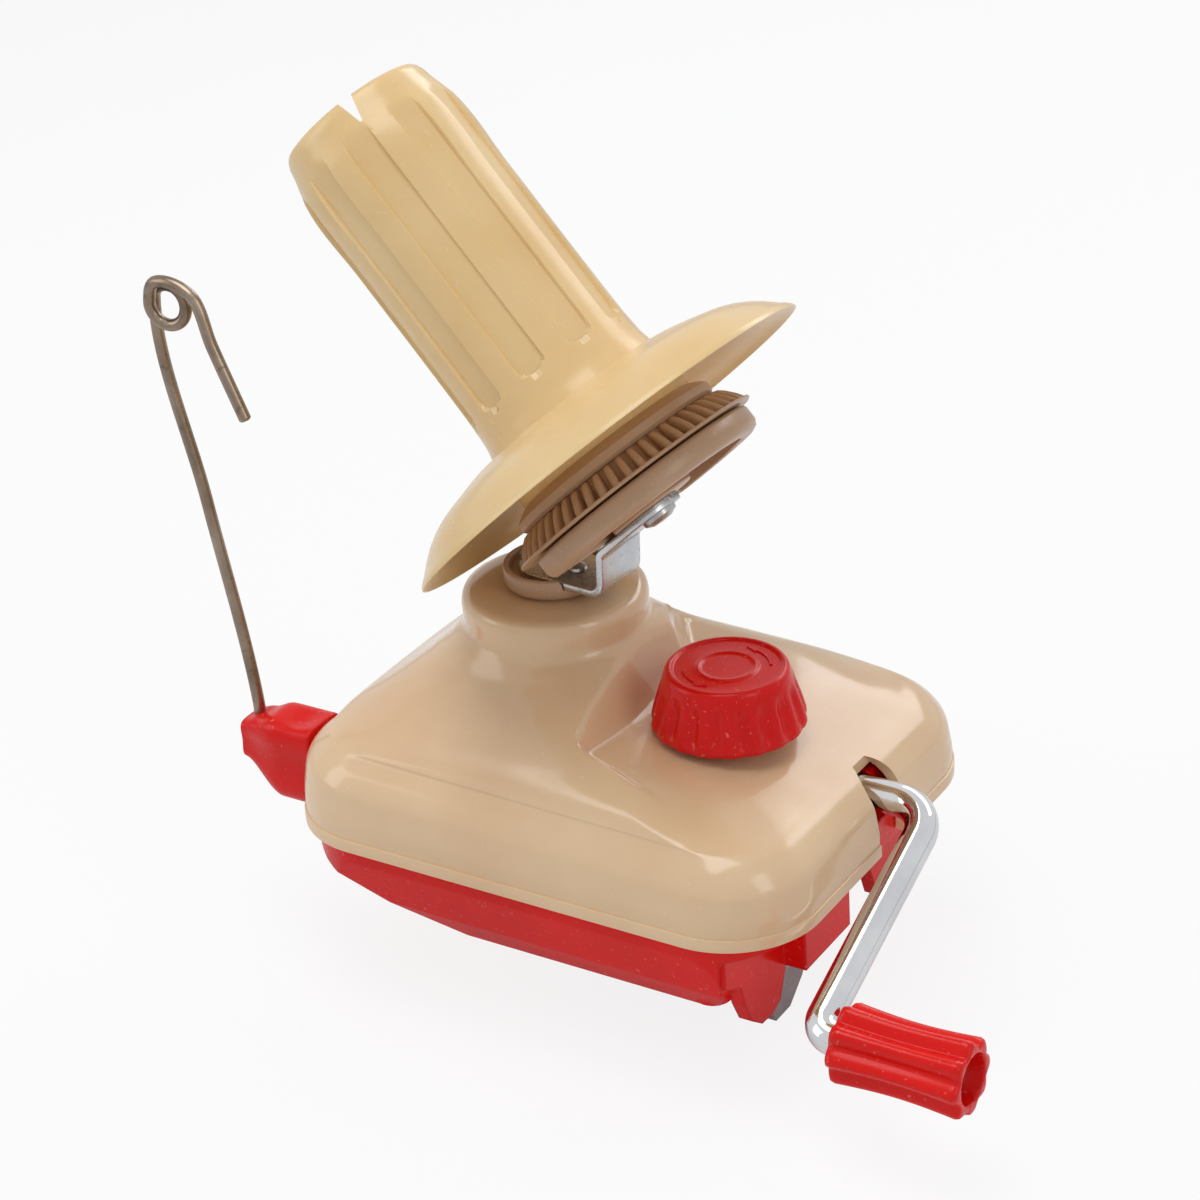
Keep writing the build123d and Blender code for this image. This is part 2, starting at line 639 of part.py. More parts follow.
def carrier_strap():
    """Flat bar bent twice: a foot in the cup, an upright web and a sloping seat."""
    web_top_e = (STRAP_REACH + 0.4 + strap_t * sin(strap_slope)) / cos(strap_slope)
    bend_x, bend_z = on_spool(web_top_e, strap_t)
    end_x, end_z = on_spool(STRAP_TIP, strap_t)
    path = FilletPolyline(
        (-CUP_R + CUP_WALL + 2.0, 0, strap_z),
        (STRAP_REACH, 0, strap_z),
        (bend_x, 0, bend_z),
        (end_x, 0, end_z),
        radius=STRAP_BEND,
    )
    section = Plane(path @ 0, x_dir=(0, 1, 0), z_dir=path % 0) * Rectangle(STRAP_WIDTH, STRAP_THICK)
    strap = sweep(section, path=path)
    # round both ends
    half = STRAP_WIDTH / 2
    foot_x = -CUP_R + CUP_WALL + 2.0
    strap -= block((foot_x - 1, foot_x + half), (-half - 1, half + 1), (strap_z - 5, strap_z + 5)) - Pos(
        foot_x + half, 0, 0) * rod(half, strap_z - 9, strap_z + 9)
    end = block((STRAP_TIP - half, STRAP_TIP + 1), (-half - 1, half + 1), (strap_t - 3, strap_t + 3))
    end -= Pos(STRAP_TIP - half, 0, 0) * rod(half, strap_t - 9, strap_t + 9)
    lift = Pos(0, 0, crossing_z) * Rot(0, -TILT, 0)
    strap -= lift * end
    strap -= lift * rod(AXLE_R + SEAT_GAP, strap_t - 9, strap_t + 9)
    strap -= rod(POST_R + SLIP_GAP, strap_z - 9, strap_z + 9)
    for x in RIVET_PLACES:
        strap -= Pos(x, 0, 0) * rod(RIVET_R + SEAT_GAP, strap_z - 9, strap_z + 3)
    return carrier * strap


def carrier_rivets():
    top = strap_z + STRAP_THICK / 2 + SEAT_GAP
    head = turned([(0, top), (2.4, top), (2.1, top + 0.7), (1.0, top + 1.1), (0, top + 1.1)])
    one = rod(RIVET_R, cup_z + 0.1, top) + head
    return carrier * Compound([Pos(x, 0, 0) * one for x in RIVET_PLACES])


def gear_shroud():
    """Flat-sided cover under the spool's gear."""
    floor = 2.2
    cover = turned([
        (0, SHROUD_START), (SHROUD_R - 1.0, SHROUD_START), (SHROUD_R, SHROUD_START - 1.0),
        (SHROUD_R, SHROUD_END + 1.6), (SHROUD_R - 1.6, SHROUD_END), (0, SHROUD_END),
    ])
    hollow = tube(SHROUD_R - 2.2, 11.0, SHROUD_END - 1, SHROUD_START - floor)
    chord = block((-60, -SHROUD_CHORD), (-60, 60), (-60, 0))
    inner_chord = block((-60, -SHROUD_CHORD + 2.0), (-60, 60), (-60, 0))
    cover = (cover - chord) - (hollow - inner_chord)
    cover -= rod(AXLE_R + SEAT_GAP, SHROUD_END - 1, SHROUD_START + 1)
    return spool_axis * cover


def spool_axle():
    """Pin through the strap, with a formed head below it."""
    low = strap_t - STRAP_THICK / 2 - SEAT_GAP
    axle = rod(AXLE_R, low - 0.2, AXLE_TOP)
    head = [(0, low), (AXLE_R + 2.0, low), (AXLE_R + 1.8, low - 1.0), (AXLE_R, low - 1.8), (0, low - 2.0)]
    axle += turned(head)
    axle -= tube(AXLE_R + 1, AXLE_R - 0.5, CLIP_T - 0.1, CLIP_T + 1.1)
    return spool_axis * axle


def axle_clip():
    clip = tube(AXLE_R + 2.0, AXLE_R - 0.5 + SEAT_GAP, CLIP_T, CLIP_T + 1.0)
    clip -= block((0, 9), (-1.9, 1.9), (CLIP_T - 1, CLIP_T + 2))
    return spool_axis * clip


def axle_washer():
    return spool_axis * tube(AXLE_R + 3.2, AXLE_R + RUN_GAP, SHROUD_START + SEAT_GAP, GEAR_END - 0.1)


# ------------------------------------------------------------------ spool
def spool():
    """Hollow cone-winding tube with its dished flange."""
    wall = SPOOL_WALL
    dish = [
        (mix(SPOOL_FOOT_R, RIM_R, out), mix(SPOOL_FOOT, RIM_T, down))
        for out, down in ((0.45, 0.38), (0.75, 0.70))
    ]
    outer = turned([
        (0, SPOOL_TOP), (SPOOL_TOP_R, SPOOL_TOP), (SPOOL_TOP_R + 1.6, SPOOL_TOP - 1.6),
        (SPOOL_R, SPOOL_SHOULDER), (SPOOL_R + 0.2, 10),
        (SPOOL_FOOT_R - 1.2, SPOOL_FOOT + 7), (SPOOL_FOOT_R, SPOOL_FOOT + 2),
        (SPOOL_FOOT_R + 3.5, SPOOL_FOOT - 1.0), *dish,
        (RIM_R - 0.6, RIM_T + 0.3), (RIM_R, RIM_T - 0.2), (RIM_R - 0.8, RIM_T - 0.9),
        *[(r - 0.3, t - wall - 0.1) for r, t in reversed(dish)],
        (SKIRT_R + 1.0, SPOOL_FOOT - 4.2), (SKIRT_R, SPOOL_FOOT - 5.0), (SKIRT_R, SKIRT_END), (0, SKIRT_END),
    ])
    bore_r = SPOOL_R - wall - CHANNEL_DEPTH
    inner = turned([
        (0, SPOOL_TOP - wall), (SPOOL_TOP_R - wall, SPOOL_TOP - wall),
        (bore_r, SPOOL_SHOULDER - wall), (bore_r, 10),
        (SKIRT_R - wall - 0.6, SPOOL_FOOT), (SKIRT_R - wall, SKIRT_END - 1), (0, SKIRT_END - 1),
    ])
    body = outer - inner
    middle = (CHANNEL_START + CHANNEL_END) / 2
    face = Plane(origin=(SPOOL_R - CHANNEL_DEPTH, 0, middle), x_dir=(0, 0, 1), z_dir=(1, 0, 0))
    channel = extrude(face * SlotOverall(CHANNEL_END - CHANNEL_START, CHANNEL_WIDTH), amount=6)
    body -= around(channel, CHANNELS, 180 / CHANNELS)
    slot = [
        (-SLOT_WIDTH / 2 - 0.8, SPOOL_TOP + 1), (SLOT_WIDTH / 2 + 0.8, SPOOL_TOP + 1),
        (1.0, SPOOL_TOP - SLOT_DEPTH), (-1.0, SPOOL_TOP - SLOT_DEPTH),
    ]
    body -= prism_y(slot, SPOOL_R + 5)
    hub_r = SPOOL_BUSH_R + HUB_WALL
    body += tube(hub_r, SPOOL_BUSH_R + SEAT_GAP, SKIRT_END + 0.5, CLIP_T - 2.5)
    body += tube(SPOOL_R - 2.0, hub_r - 0.5, 20.0, 22.0)
    body += tube(SKIRT_R - 2.0, hub_r - 0.5, SPOOL_FOOT - 2, SPOOL_FOOT)
    for place in around(Pos(GEAR_SCREW_PLACE, 0, 0), GEAR_SCREWS, 60):
        post = place * rod(3.4, SKIRT_END + 0.5, SPOOL_FOOT - 1)
        body += post
        body -= place * rod(GEAR_SCREW_R - 0.1, SKIRT_END - 1, SPOOL_FOOT - 4)
    return spool_axis * body


def spool_gear():
    """Bevel ring under the spool: collar, blade teeth and a thin closed rim."""
    top = SKIRT_END - SEAT_GAP
    root_small = -COLLAR_END * tan(gear_cone - root_cone)
    root_large = -TEETH_END * tan(gear_cone - root_cone)
    tip_large = -TEETH_END * tan(gear_cone + tip_cone)
    body = turned([
        (0, top), (COLLAR_R - 0.6, top), (COLLAR_R, top - 0.6), (COLLAR_R, COLLAR_END + 0.8),
        (COLLAR_R - 0.8, COLLAR_END), (root_small, COLLAR_END), (root_large, TEETH_END),
        (tip_large - 0.1, TEETH_END), (tip_large - 0.6, GEAR_END), (0, GEAR_END),
    ])
    ends = (TEETH_END - 0.2, COLLAR_END + 0.2)
    tooth = loft([tooth_section(height, gear_cone, SPOOL_TEETH) for height in ends], ruled=True)
    body += around(tooth, SPOOL_TEETH)
    body -= tube(19.5, 8.5, GEAR_END - 1, top - 4.0)
    body -= rod(SPOOL_BUSH_R + SEAT_GAP, GEAR_END - 1, top + 1)
    for place in around(Pos(GEAR_SCREW_PLACE, 0, 0), GEAR_SCREWS, 60):
        body -= place * rod(GEAR_SCREW_R + 0.2, GEAR_END - 1, top + 1)
    return spool_axis * body


def spool_gear_screws():
    seat = SKIRT_END - 4.0 - 2 * SEAT_GAP
    one = rod(GEAR_SCREW_R - 0.12, seat - 0.1, SPOOL_FOOT - 5) + rod(GEAR_SCREW_R + 1.3, seat - 1.8, seat)
    one -= block((-4, 4), (-0.35, 0.35), (seat - 3, seat - 1.0))
    places = around(Pos(GEAR_SCREW_PLACE, 0, 0), GEAR_SCREWS, 60)
    return spool_axis * Compound([place * one for place in places])


def spool_bush():
    return spool_axis * tube(SPOOL_BUSH_R, AXLE_R + RUN_GAP, GEAR_END + 0.05, CLIP_T - 0.3)


# ------------------------------------------------------------------ clamp
clamp = Pos(SCREW_X, SCREW_Y, 0)
knob_z = rim_z + KNOB_RISE
jaw_top_z = -JAW_GAP - PAD_THICK
sleeve_low_z = rim_z + 3.0


def clamp_knob():
    body = turned([
        (0, 0), (KNOB_R - 0.6, 0), (KNOB_R, 0.8), (KNOB_R, 2.2), (KNOB_TOP_R + 0.6, KNOB_HEIGHT - 1.6),
        (KNOB_TOP_R, KNOB_HEIGHT - 0.4), (KNOB_TOP_R - 0.5, KNOB_HEIGHT), (0, KNOB_HEIGHT),
    ])
    lean = degrees(atan((KNOB_R - KNOB_TOP_R) / KNOB_HEIGHT))
    flute = Pos(KNOB_R + 1.8, 0, 2.2) * Rot(0, -lean, 0) * rod(2.6, 0, KNOB_HEIGHT - 3.2)
    body -= around(flute, KNOB_FLUTES)
    body -= tube(KNOB_TOP_R - 1.0, SLEEVE_R + 3.0, -1, KNOB_HEIGHT - 4.0)
    body -= rod(SLEEVE_R + SEAT_GAP, -1, KNOB_HEIGHT - 2.5)
    body -= tube(KNOB_TOP_R - 1.6, 7.6, KNOB_HEIGHT - 0.5, KNOB_HEIGHT + 1)
    body -= rod(6.6, KNOB_HEIGHT - 0.5, KNOB_HEIGHT + 1)
    return clamp * Pos(0, 0, knob_z) * body


def knob_sleeve():
    """Threaded sleeve pressed into the knob; a plain bore stands for its thread."""
    return clamp * tube(SLEEVE_R, SCREW_R + RUN_GAP, sleeve_low_z, knob_z + KNOB_HEIGHT - 2.6)


def knob_washer():
    return clamp * tube(KNOB_R - 7.2, SLEEVE_R + SLIP_GAP, knob_z - 0.6 + SEAT_GAP, knob_z - 0.1)


def clamp_screw():
    return clamp * rod(SCREW_R, jaw_top_z - JAW_THICK - 4.0, rim_z + 34)


def clamp_jaw():
    """Cast bar under the table, with a keel towards its tail."""
    low = jaw_top_z - JAW_THICK
    bar = [
        (-19.0, jaw_top_z), (1.5, jaw_top_z), (1.5, low + 1.5),
        (0.0, low), (-17.5, low), (-19.0, low + 1.5),
    ]
    keel = [
        (-18.5, low + 1), (-1.5, low + 1), (-3.5, low - 2),
        (-9.9, low - 7.2), (-17.0, low - 7.2), (-18.5, low - 4),
    ]
    jaw = prism_x(bar, JAW_START_X, JAW_END_X) + prism_x(keel, JAW_END_X - 9.0, JAW_END_X)
    jaw += prism_x([(y, z) for y, z in keel[:4]] + [(-18.5, low - 4)], SCREW_X + 5.5, JAW_END_X - 8.5)
    return jaw - clamp * rod(SCREW_R + SEAT_GAP, -60, 10)


def jaw_nut():
    """Hexagon nut that locks the screw under the jaw."""
    nut = extrude(RegularPolygon(radius=4.6, side_count=6, major_radius=False), amount=NUT_HEIGHT)
    nut -= rod(SCREW_R + SEAT_GAP, -1, NUT_HEIGHT + 1)
    return clamp * Pos(0, 0, jaw_top_z - JAW_THICK - NUT_HEIGHT - SEAT_GAP) * nut


def jaw_pad():
    """Rubber pad that meets the table's underside."""
    return block((JAW_START_X + 0.5, JAW_START_X + 17), (-18.0, 0.5), (jaw_top_z, -JAW_GAP))


# ------------------------------------------------------------------ yarn guide
holder_x = -SHELL_LENGTH / 2 - SLIP_GAP
wire_x = holder_x - HOLDER_LENGTH + 4.2
wire_base_z = holder_z + HOLDER_HEIGHT / 2 - WIRE_SOCKET


def guide_holder():
    """Block that carries the wire and folds about a pin in the shell's end."""
    place = Plane(origin=(holder_x, GUIDE_Y, holder_z), x_dir=(0, 1, 0), z_dir=(-1, 0, 0))
    body = extrude(place * RectangleRounded(HOLDER_WIDTH, HOLDER_HEIGHT, 5.5), amount=HOLDER_LENGTH)
    body = fillet(body.faces().sort_by(Axis.X)[0].edges(), 1.5)
    body -= Pos(0, GUIDE_Y, holder_z) * along_x(rod(PIVOT_R + RUN_GAP, holder_x - 14.3, holder_x + 1))
    body -= Pos(wire_x, GUIDE_Y, 0) * rod(WIRE_R + SEAT_GAP, wire_base_z - 0.1, rim_z + 60)
    return body


def holder_pivot():
    """Headed pin from inside the shell's end wall."""
    inside_x = -SHELL_LENGTH / 2 + bore_inset + 0.8
    pin = rod(PIVOT_R, holder_x - 14.0, inside_x) + rod(PIVOT_R + 1.6, inside_x, inside_x + 1.5)
    return Pos(0, GUIDE_Y, holder_z) * along_x(pin)


def guide_wire():
    """Sprung wire: socket, leaning stem, one eye turn, arch and free end."""
    eye_z = rim_z + EYE_RISE
    turn_step = 45.0
    turn_pitch = 2 * WIRE_R + 0.45
    spread = (1.45, 1.32, 1.15, 1.04, 1.0, 1.0, 1.0, 1.0, 1.03, 1.14)
    points = [(wire_x, GUIDE_Y, wire_base_z), (wire_x, GUIDE_Y, wire_base_z + WIRE_SOCKET + 3.0)]
    for k, share in enumerate(spread):
        angle = radians(180 - turn_step * (k + 0.5))
        reach = EYE_R * share / cos(radians(turn_step / 2))
        side = GUIDE_Y - turn_pitch * k * turn_step / 360
        points.append((EYE_X + reach * cos(angle), side, eye_z + reach * sin(angle)))
    last_y = points[-1][1]
    points.append((EYE_X + 7.4, last_y - 0.3, eye_z + 4.6))
    points.append((EYE_X + 19.0, last_y - 0.5, eye_z - 24.4))
    radii = [20.0] + [0.9 * EYE_R * share for share in spread] + [4.5]
    path = FilletPolyline(*points, radius=radii)
    return sweep(Plane(path @ 0, z_dir=path % 0) * Circle(WIRE_R), path=path)


# ------------------------------------------------------------------ write every node
NODES = {
    "upper_shell": upper_shell,
    "lower_shell": lower_shell,
    "shell_screws": shell_screws,
    "crank_rod": crank_rod,
    "crown_gear": crown_gear,
    "crown_pin": crown_pin,
    "shaft_bush_outer": lambda: shaft_bush(OUTER_WEB_X, 1),
    "shaft_bush_inner": lambda: shaft_bush(INNER_WEB_X, -1),
    "shaft_clip": shaft_clip,
    "grip": grip,
    "grip_washer": grip_washer,
    "grip_rivet": grip_rivet,
    "centre_post": centre_post,
    "sun_gear": sun_gear,
    "thrust_tube": thrust_tube,
    "thrust_washer": thrust_washer,
    "drive_pinion": drive_pinion,
    "drive_shaft": drive_shaft,
    "boss_bush": boss_bush,
    "carrier_cup": carrier_cup,
    "carrier_strap": carrier_strap,
    "carrier_rivets": carrier_rivets,
    "gear_shroud": gear_shroud,
    "spool_axle": spool_axle,
    "axle_clip": axle_clip,
    "axle_washer": axle_washer,
    "spool": spool,
    "spool_gear": spool_gear,
    "spool_gear_screws": spool_gear_screws,
    "spool_bush": spool_bush,
    "clamp_knob": clamp_knob,
    "knob_sleeve": knob_sleeve,
    "knob_washer": knob_washer,
    "clamp_screw": clamp_screw,
    "clamp_jaw": clamp_jaw,
    "jaw_nut": jaw_nut,
    "jaw_pad": jaw_pad,
    "guide_holder": guide_holder,
    "holder_pivot": holder_pivot,
    "guide_wire": guide_wire,
}

for name, make in NODES.items():
    shape = make()
    save(shape, name)
    print(f"{name:20s} volume {shape.volume:9.1f}")
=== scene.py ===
# %% [markdown]
# # A hand-cranked yarn cone winder, dressed
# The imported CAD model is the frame. Everything here takes its place from it, in metres, and rides
# on one of its bodies. Sizes below are in millimetres, because the real parts are drawn so, and
# one helper turns them into metres as it makes a mesh.

import json
import math

import bmesh
import bpy
from mathutils import Matrix, Vector

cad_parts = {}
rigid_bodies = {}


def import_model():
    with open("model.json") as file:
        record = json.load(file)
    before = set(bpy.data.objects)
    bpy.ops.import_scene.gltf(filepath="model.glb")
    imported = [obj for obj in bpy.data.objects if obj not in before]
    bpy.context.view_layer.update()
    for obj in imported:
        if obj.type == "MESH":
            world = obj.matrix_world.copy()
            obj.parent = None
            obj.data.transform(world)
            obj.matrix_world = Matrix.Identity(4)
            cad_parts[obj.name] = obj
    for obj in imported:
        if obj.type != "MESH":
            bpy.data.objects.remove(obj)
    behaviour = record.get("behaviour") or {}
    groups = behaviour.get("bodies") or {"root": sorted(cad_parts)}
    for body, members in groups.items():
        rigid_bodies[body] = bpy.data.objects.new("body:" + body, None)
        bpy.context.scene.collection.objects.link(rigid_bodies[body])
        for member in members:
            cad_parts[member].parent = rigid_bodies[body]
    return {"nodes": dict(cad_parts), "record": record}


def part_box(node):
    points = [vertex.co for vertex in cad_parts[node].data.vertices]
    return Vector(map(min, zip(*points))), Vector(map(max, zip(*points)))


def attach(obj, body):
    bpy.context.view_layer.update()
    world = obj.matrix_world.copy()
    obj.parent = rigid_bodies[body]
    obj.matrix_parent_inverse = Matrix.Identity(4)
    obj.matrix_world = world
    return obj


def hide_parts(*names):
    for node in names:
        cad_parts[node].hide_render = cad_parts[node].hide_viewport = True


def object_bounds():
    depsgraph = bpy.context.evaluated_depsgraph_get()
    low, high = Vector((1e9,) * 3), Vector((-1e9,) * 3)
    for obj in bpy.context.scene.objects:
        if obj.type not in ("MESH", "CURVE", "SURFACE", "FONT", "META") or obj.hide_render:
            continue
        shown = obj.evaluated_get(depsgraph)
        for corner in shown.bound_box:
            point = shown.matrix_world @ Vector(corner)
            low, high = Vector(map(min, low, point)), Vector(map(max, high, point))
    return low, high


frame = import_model()
cad_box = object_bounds()

# %% [markdown]
# ## Where things stand
# These are the sizes that the CAD source gives to the main parts. The spool's own frame starts
# where its axis crosses the tower's axis, and its up runs along the tube.

# %% Sizes and places
MM = 0.001
RIM_Z = 22.0
TOWER_X = -18.0
BOSS_R = 22.4
BOSS_RISE = 52.5
REST_TURN = -4.0
TILT = 44.0
CROSSING_Z = RIM_Z + 110.8
CUP_GAP = 0.7
CUP_Z = RIM_Z + BOSS_RISE + CUP_GAP
CRANK_Y = 5.0
CRANK_Z = RIM_Z + 12.4
ARM_X = 79.5
ARM_LENGTH = 65.0
ARM_DROP = math.radians(23.0)
ARM_END_Y = CRANK_Y - ARM_LENGTH * math.cos(ARM_DROP)
ARM_END_Z = CRANK_Z - ARM_LENGTH * math.sin(ARM_DROP)
ROD_R = 4.0
GRIP_X = ARM_X + 5.0 + 1.2
SCREW_X = 31.3
SCREW_Y = -4.5
KNOB_Z = RIM_Z + 28.8
GUIDE_Y = -29.0
HOLDER_Z = RIM_Z + 5.7


def turn(axis, degrees):
    return Matrix.Rotation(math.radians(degrees), 4, axis)


def shift(x, y, z):
    return Matrix.Translation((x, y, z))


HERE = Matrix.Identity(4)
CARRIER = shift(TOWER_X, 0, 0) @ turn("Z", REST_TURN)
SPOOL_AXIS = CARRIER @ shift(0, 0, CROSSING_Z) @ turn("Y", -TILT)
print("spool axis points to", [round(v, 3) for v in SPOOL_AXIS.col[2][:3]])

# %% [markdown]
# ## Making surfaces
# Nearly every part here is a moulding or a turning, so its surface is a stack of closed rings of
# points. One helper skins such a stack. Rings leave full control over where the faces go, which a
# primitive with modifiers on it would not.

# %% A piece from points and faces


def new_piece(name, points, faces, sharp=38):
    """An object from points in millimetres, smooth except where faces meet at a real edge."""
    mesh = bpy.data.meshes.new(name)
    mesh.from_pydata([Vector(p) * MM for p in points], [], faces)
    shape = bmesh.new()
    shape.from_mesh(mesh)
    bmesh.ops.remove_doubles(shape, verts=shape.verts, dist=1e-6)
    bmesh.ops.recalc_face_normals(shape, faces=shape.faces)
    shape.to_mesh(mesh)
    shape.free()
    mesh.shade_smooth()
    mesh.set_sharp_from_angle(angle=math.radians(sharp))
    piece = bpy.data.objects.new(name, mesh)
    bpy.context.scene.collection.objects.link(piece)
    return piece


# %% Skin a stack of rings


def skin(name, rings, place=HERE, loop=False, sharp=38):
    """Joins closed rings into one closed surface: end to end as a loop, or with flat caps."""
    count = len(rings[0])
    points = [place @ Vector(p) for ring in rings for p in ring]
    faces = []
    for k in range(len(rings) if loop else len(rings) - 1):
        low = k * count
        high = (k + 1) % len(rings) * count
        for i in range(count):
            j = (i + 1) % count
            faces.append((low + i, low + j, high + j, high + i))
    if not loop:
        faces.append(tuple(range(count)))
        faces.append(tuple(range(len(points) - count, len(points))))
    return new_piece(name, points, faces, sharp)


# %% Turn a profile


def lathe(name, profile, place=HERE, steps=128, loop=False, form=None, sharp=38, angles=None):
    """Turns (radius, height) points about the place's up; form may move each (x, y, z)."""
    angles = angles or [2 * math.pi * k / steps for k in range(steps)]
    rings = []
    for radius, height in profile:
        ring = []
        for angle in angles:
            point = (radius * math.cos(angle), radius * math.sin(angle), height)
            ring.append(form(*point) if form else point)
        rings.append(ring)
    return skin(name, rings, place, loop, sharp)


# %% [markdown]
# Profiles are given by a few points. A smooth line through them, with its slope taken from the
# points on both sides, gives the many rings that a soft moulded curve needs.

# %% Smooth lines and blends


def flow(points, step=1.0):
    """A smooth line through the points, with a new point about every step."""
    knots = [Vector(p) for p in points]
    spans = [(b - a).length for a, b in zip(knots, knots[1:])]
    slopes = [(knots[1] - knots[0]) / spans[0]]
    for k in range(1, len(knots) - 1):
        before = (knots[k] - knots[k - 1]) / spans[k - 1]
        after = (knots[k + 1] - knots[k]) / spans[k]
        slopes.append((before * spans[k] + after * spans[k - 1]) / (spans[k] + spans[k - 1]))
    slopes.append((knots[-1] - knots[-2]) / spans[-1])
    line = []
    for k, span in enumerate(spans):
        count = max(1, round(span / step))
        for i in range(count):
            t = i / count
            line.append(
                knots[k] * (2 * t**3 - 3 * t**2 + 1)
                + slopes[k] * span * (t**3 - 2 * t**2 + t)
                + knots[k + 1] * (3 * t**2 - 2 * t**3)
                + slopes[k + 1] * span * (t**3 - t**2)
            )
    return [tuple(p) for p in line] + [tuple(knots[-1])]


def smooth_step(low, high, value):
    """0 at low, 1 at high, with a soft start and end."""
    share = min(1.0, max(0.0, (value - low) / (high - low)))
    return share * share * (3 - 2 * share)


def mix(a, b, share):
    return a + (b - a) * share


print("a line of 20 mm in steps of 1 mm has", len(flow([(0, 0), (20, 0)])), "points")

# %% [markdown]
# ## Finishing shapes
# Openings are cut with Blender's exact boolean, edges get a small bevel, and every modifier is
# turned into plain mesh at once, so that nothing is left to change when a body moves.

# %% Cut, bevel and settle
EASED_SHARP = 50


def settle(piece):
    """Turns a piece's modifiers into plain mesh."""
    graph = bpy.context.evaluated_depsgraph_get()
    piece.data = bpy.data.meshes.new_from_object(piece.evaluated_get(graph))
    piece.modifiers.clear()
    return piece


def cut(piece, cutter, sharp=38):
    """Takes the cutter's volume out of the piece."""
    boolean = piece.modifiers.new("cut", "BOOLEAN")
    boolean.object = cutter
    boolean.solver = "EXACT"
    settle(piece)
    bpy.data.objects.remove(cutter)
    piece.data.set_sharp_from_angle(angle=math.radians(sharp))
    return piece


def ease(piece, width, angle=40, segments=3):
    """Rounds the edges sharper than an angle."""
    bevel = piece.modifiers.new("edge", "BEVEL")
    bevel.width = width * MM
    bevel.segments = segments
    bevel.limit_method = "ANGLE"
    bevel.angle_limit = math.radians(angle)
    bevel.use_clamp_overlap = True
    settle(piece)
    piece.data.shade_smooth()
    piece.data.set_sharp_from_angle(angle=math.radians(EASED_SHARP))
    return piece


def join(name, *pieces):
    """Several pieces as one mesh."""
    shape = bmesh.new()
    for piece in pieces:
        shape.from_mesh(piece.data)
        bpy.data.objects.remove(piece)
    mesh = bpy.data.meshes.new(name)
    shape.to_mesh(mesh)
    shape.free()
    joined = bpy.data.objects.new(name, mesh)
    bpy.context.scene.collection.objects.link(joined)
    return joined


print("helpers for cutting, easing and joining are ready")

# %% [markdown]
# ## Shader maths
# A finish is a small network of nodes. Written as Python sums it stays readable: a Tone stands for
# one socket, and adding or multiplying Tones adds the Math nodes. Only what varies over the
# surface is wired. A value that is the same all over is set on the shader's own socket.

# %% Tones and finishes


class Tone:
    """One shader value. Sums on it add Math nodes to its finish."""

    def __init__(self, finish, socket):
        self.finish = finish
        self.socket = socket

    def sum(self, operation, first, second=0.0):
        return self.finish.add("ShaderNodeMath", {"operation": operation}, {0: first, 1: second})

    def __add__(self, other):
        return self.sum("ADD", self, other)

    def __sub__(self, other):
        return self.sum("SUBTRACT", self, other)

    def __mul__(self, other):
        return self.sum("MULTIPLY", self, other)

    def __rsub__(self, other):
        return self.sum("SUBTRACT", other, self)

    __radd__ = __add__
    __rmul__ = __mul__


def paint(code):
    """A colour from its six-figure web code, as the shader wants it."""
    shares = [int(code[k : k + 2], 16) / 255 for k in (0, 2, 4)]
    return tuple([s / 12.92 if s <= 0.04045 else ((s + 0.055) / 1.055) ** 2.4 for s in shares] + [1.0])


class Finish:
    """A material whose nodes all come from add()."""

    def __init__(self, name, **constants):
        self.material = bpy.data.materials.new(name)
        self.material.use_nodes = True
        self.tree = self.material.node_tree
        self.shader = self.tree.nodes["Principled BSDF"]
        for key, value in constants.items():
            self.shader.inputs[key.replace("_", " ")].default_value = value
        self.place = Tone(self, self.add("ShaderNodeTexCoord").socket.node.outputs["Object"])

    def add(self, kind, settings=None, values=None, out=0):
        node = self.tree.nodes.new(kind)
        for key, value in (settings or {}).items():
            if key == "stops":
                for stop, (position, shade) in zip(node.color_ramp.elements, value):
                    stop.position = position
                    stop.color = (shade, shade, shade, 1.0)
            else:
                setattr(node, key, value)
        for key, value in (values or {}).items():
            self.wire(value, node.inputs[key])
        return Tone(self, node.outputs[out])

    def wire(self, value, socket):
        if isinstance(value, Tone):
            self.tree.links.new(value.socket, socket)
        else:
            socket.default_value = value

    def feed(self, **inputs):
        for key, value in inputs.items():
            self.wire(value, self.shader.inputs[key.replace("_", " ")])

    def noise(self, scale, detail=2.0, stretch=None, rough=0.5):
        """Soft clouds, scale per metre, stretched along an axis where asked."""
        spot = self.place
        if stretch:
            spot = self.add("ShaderNodeMapping", None, {"Vector": spot, "Scale": stretch})
        values = {"Vector": spot, "Scale": scale, "Detail": detail, "Roughness": rough}
        return self.add("ShaderNodeTexNoise", None, values)

    def ramp(self, value, low, high):
        """0 below low, 1 above high."""
        return self.add("ShaderNodeValToRGB", {"stops": ((low, 0.0), (high, 1.0))}, {0: value})

    def blend(self, share, first, second):
        """Mixes two colours."""
        return self.add("ShaderNodeMix", {"data_type": "RGBA"}, {0: share, 6: first, 7: second}, out=2)

    def bump(self, height, strength, depth, under=None):
        values = {"Height": height, "Strength": strength, "Distance": depth * MM}
        if under:
            values["Normal"] = under
        return self.add("ShaderNodeBump", None, values)

    def rounded(self, radius):
        """Normals that round the edges of a plain CAD solid."""
        return self.add("ShaderNodeBevel", {"samples": 4}, {"Radius": radius * MM})


# %% [markdown]
# ## Moulded plastics
# The shell, the spool and the red parts are polished mouldings. Such plastic is never one flat
# colour: the pigment clouds a little, long ripples from the mould bend the reflections, handling
# leaves faint dull patches, and a few hair scratches catch the light.

# %% Plastic


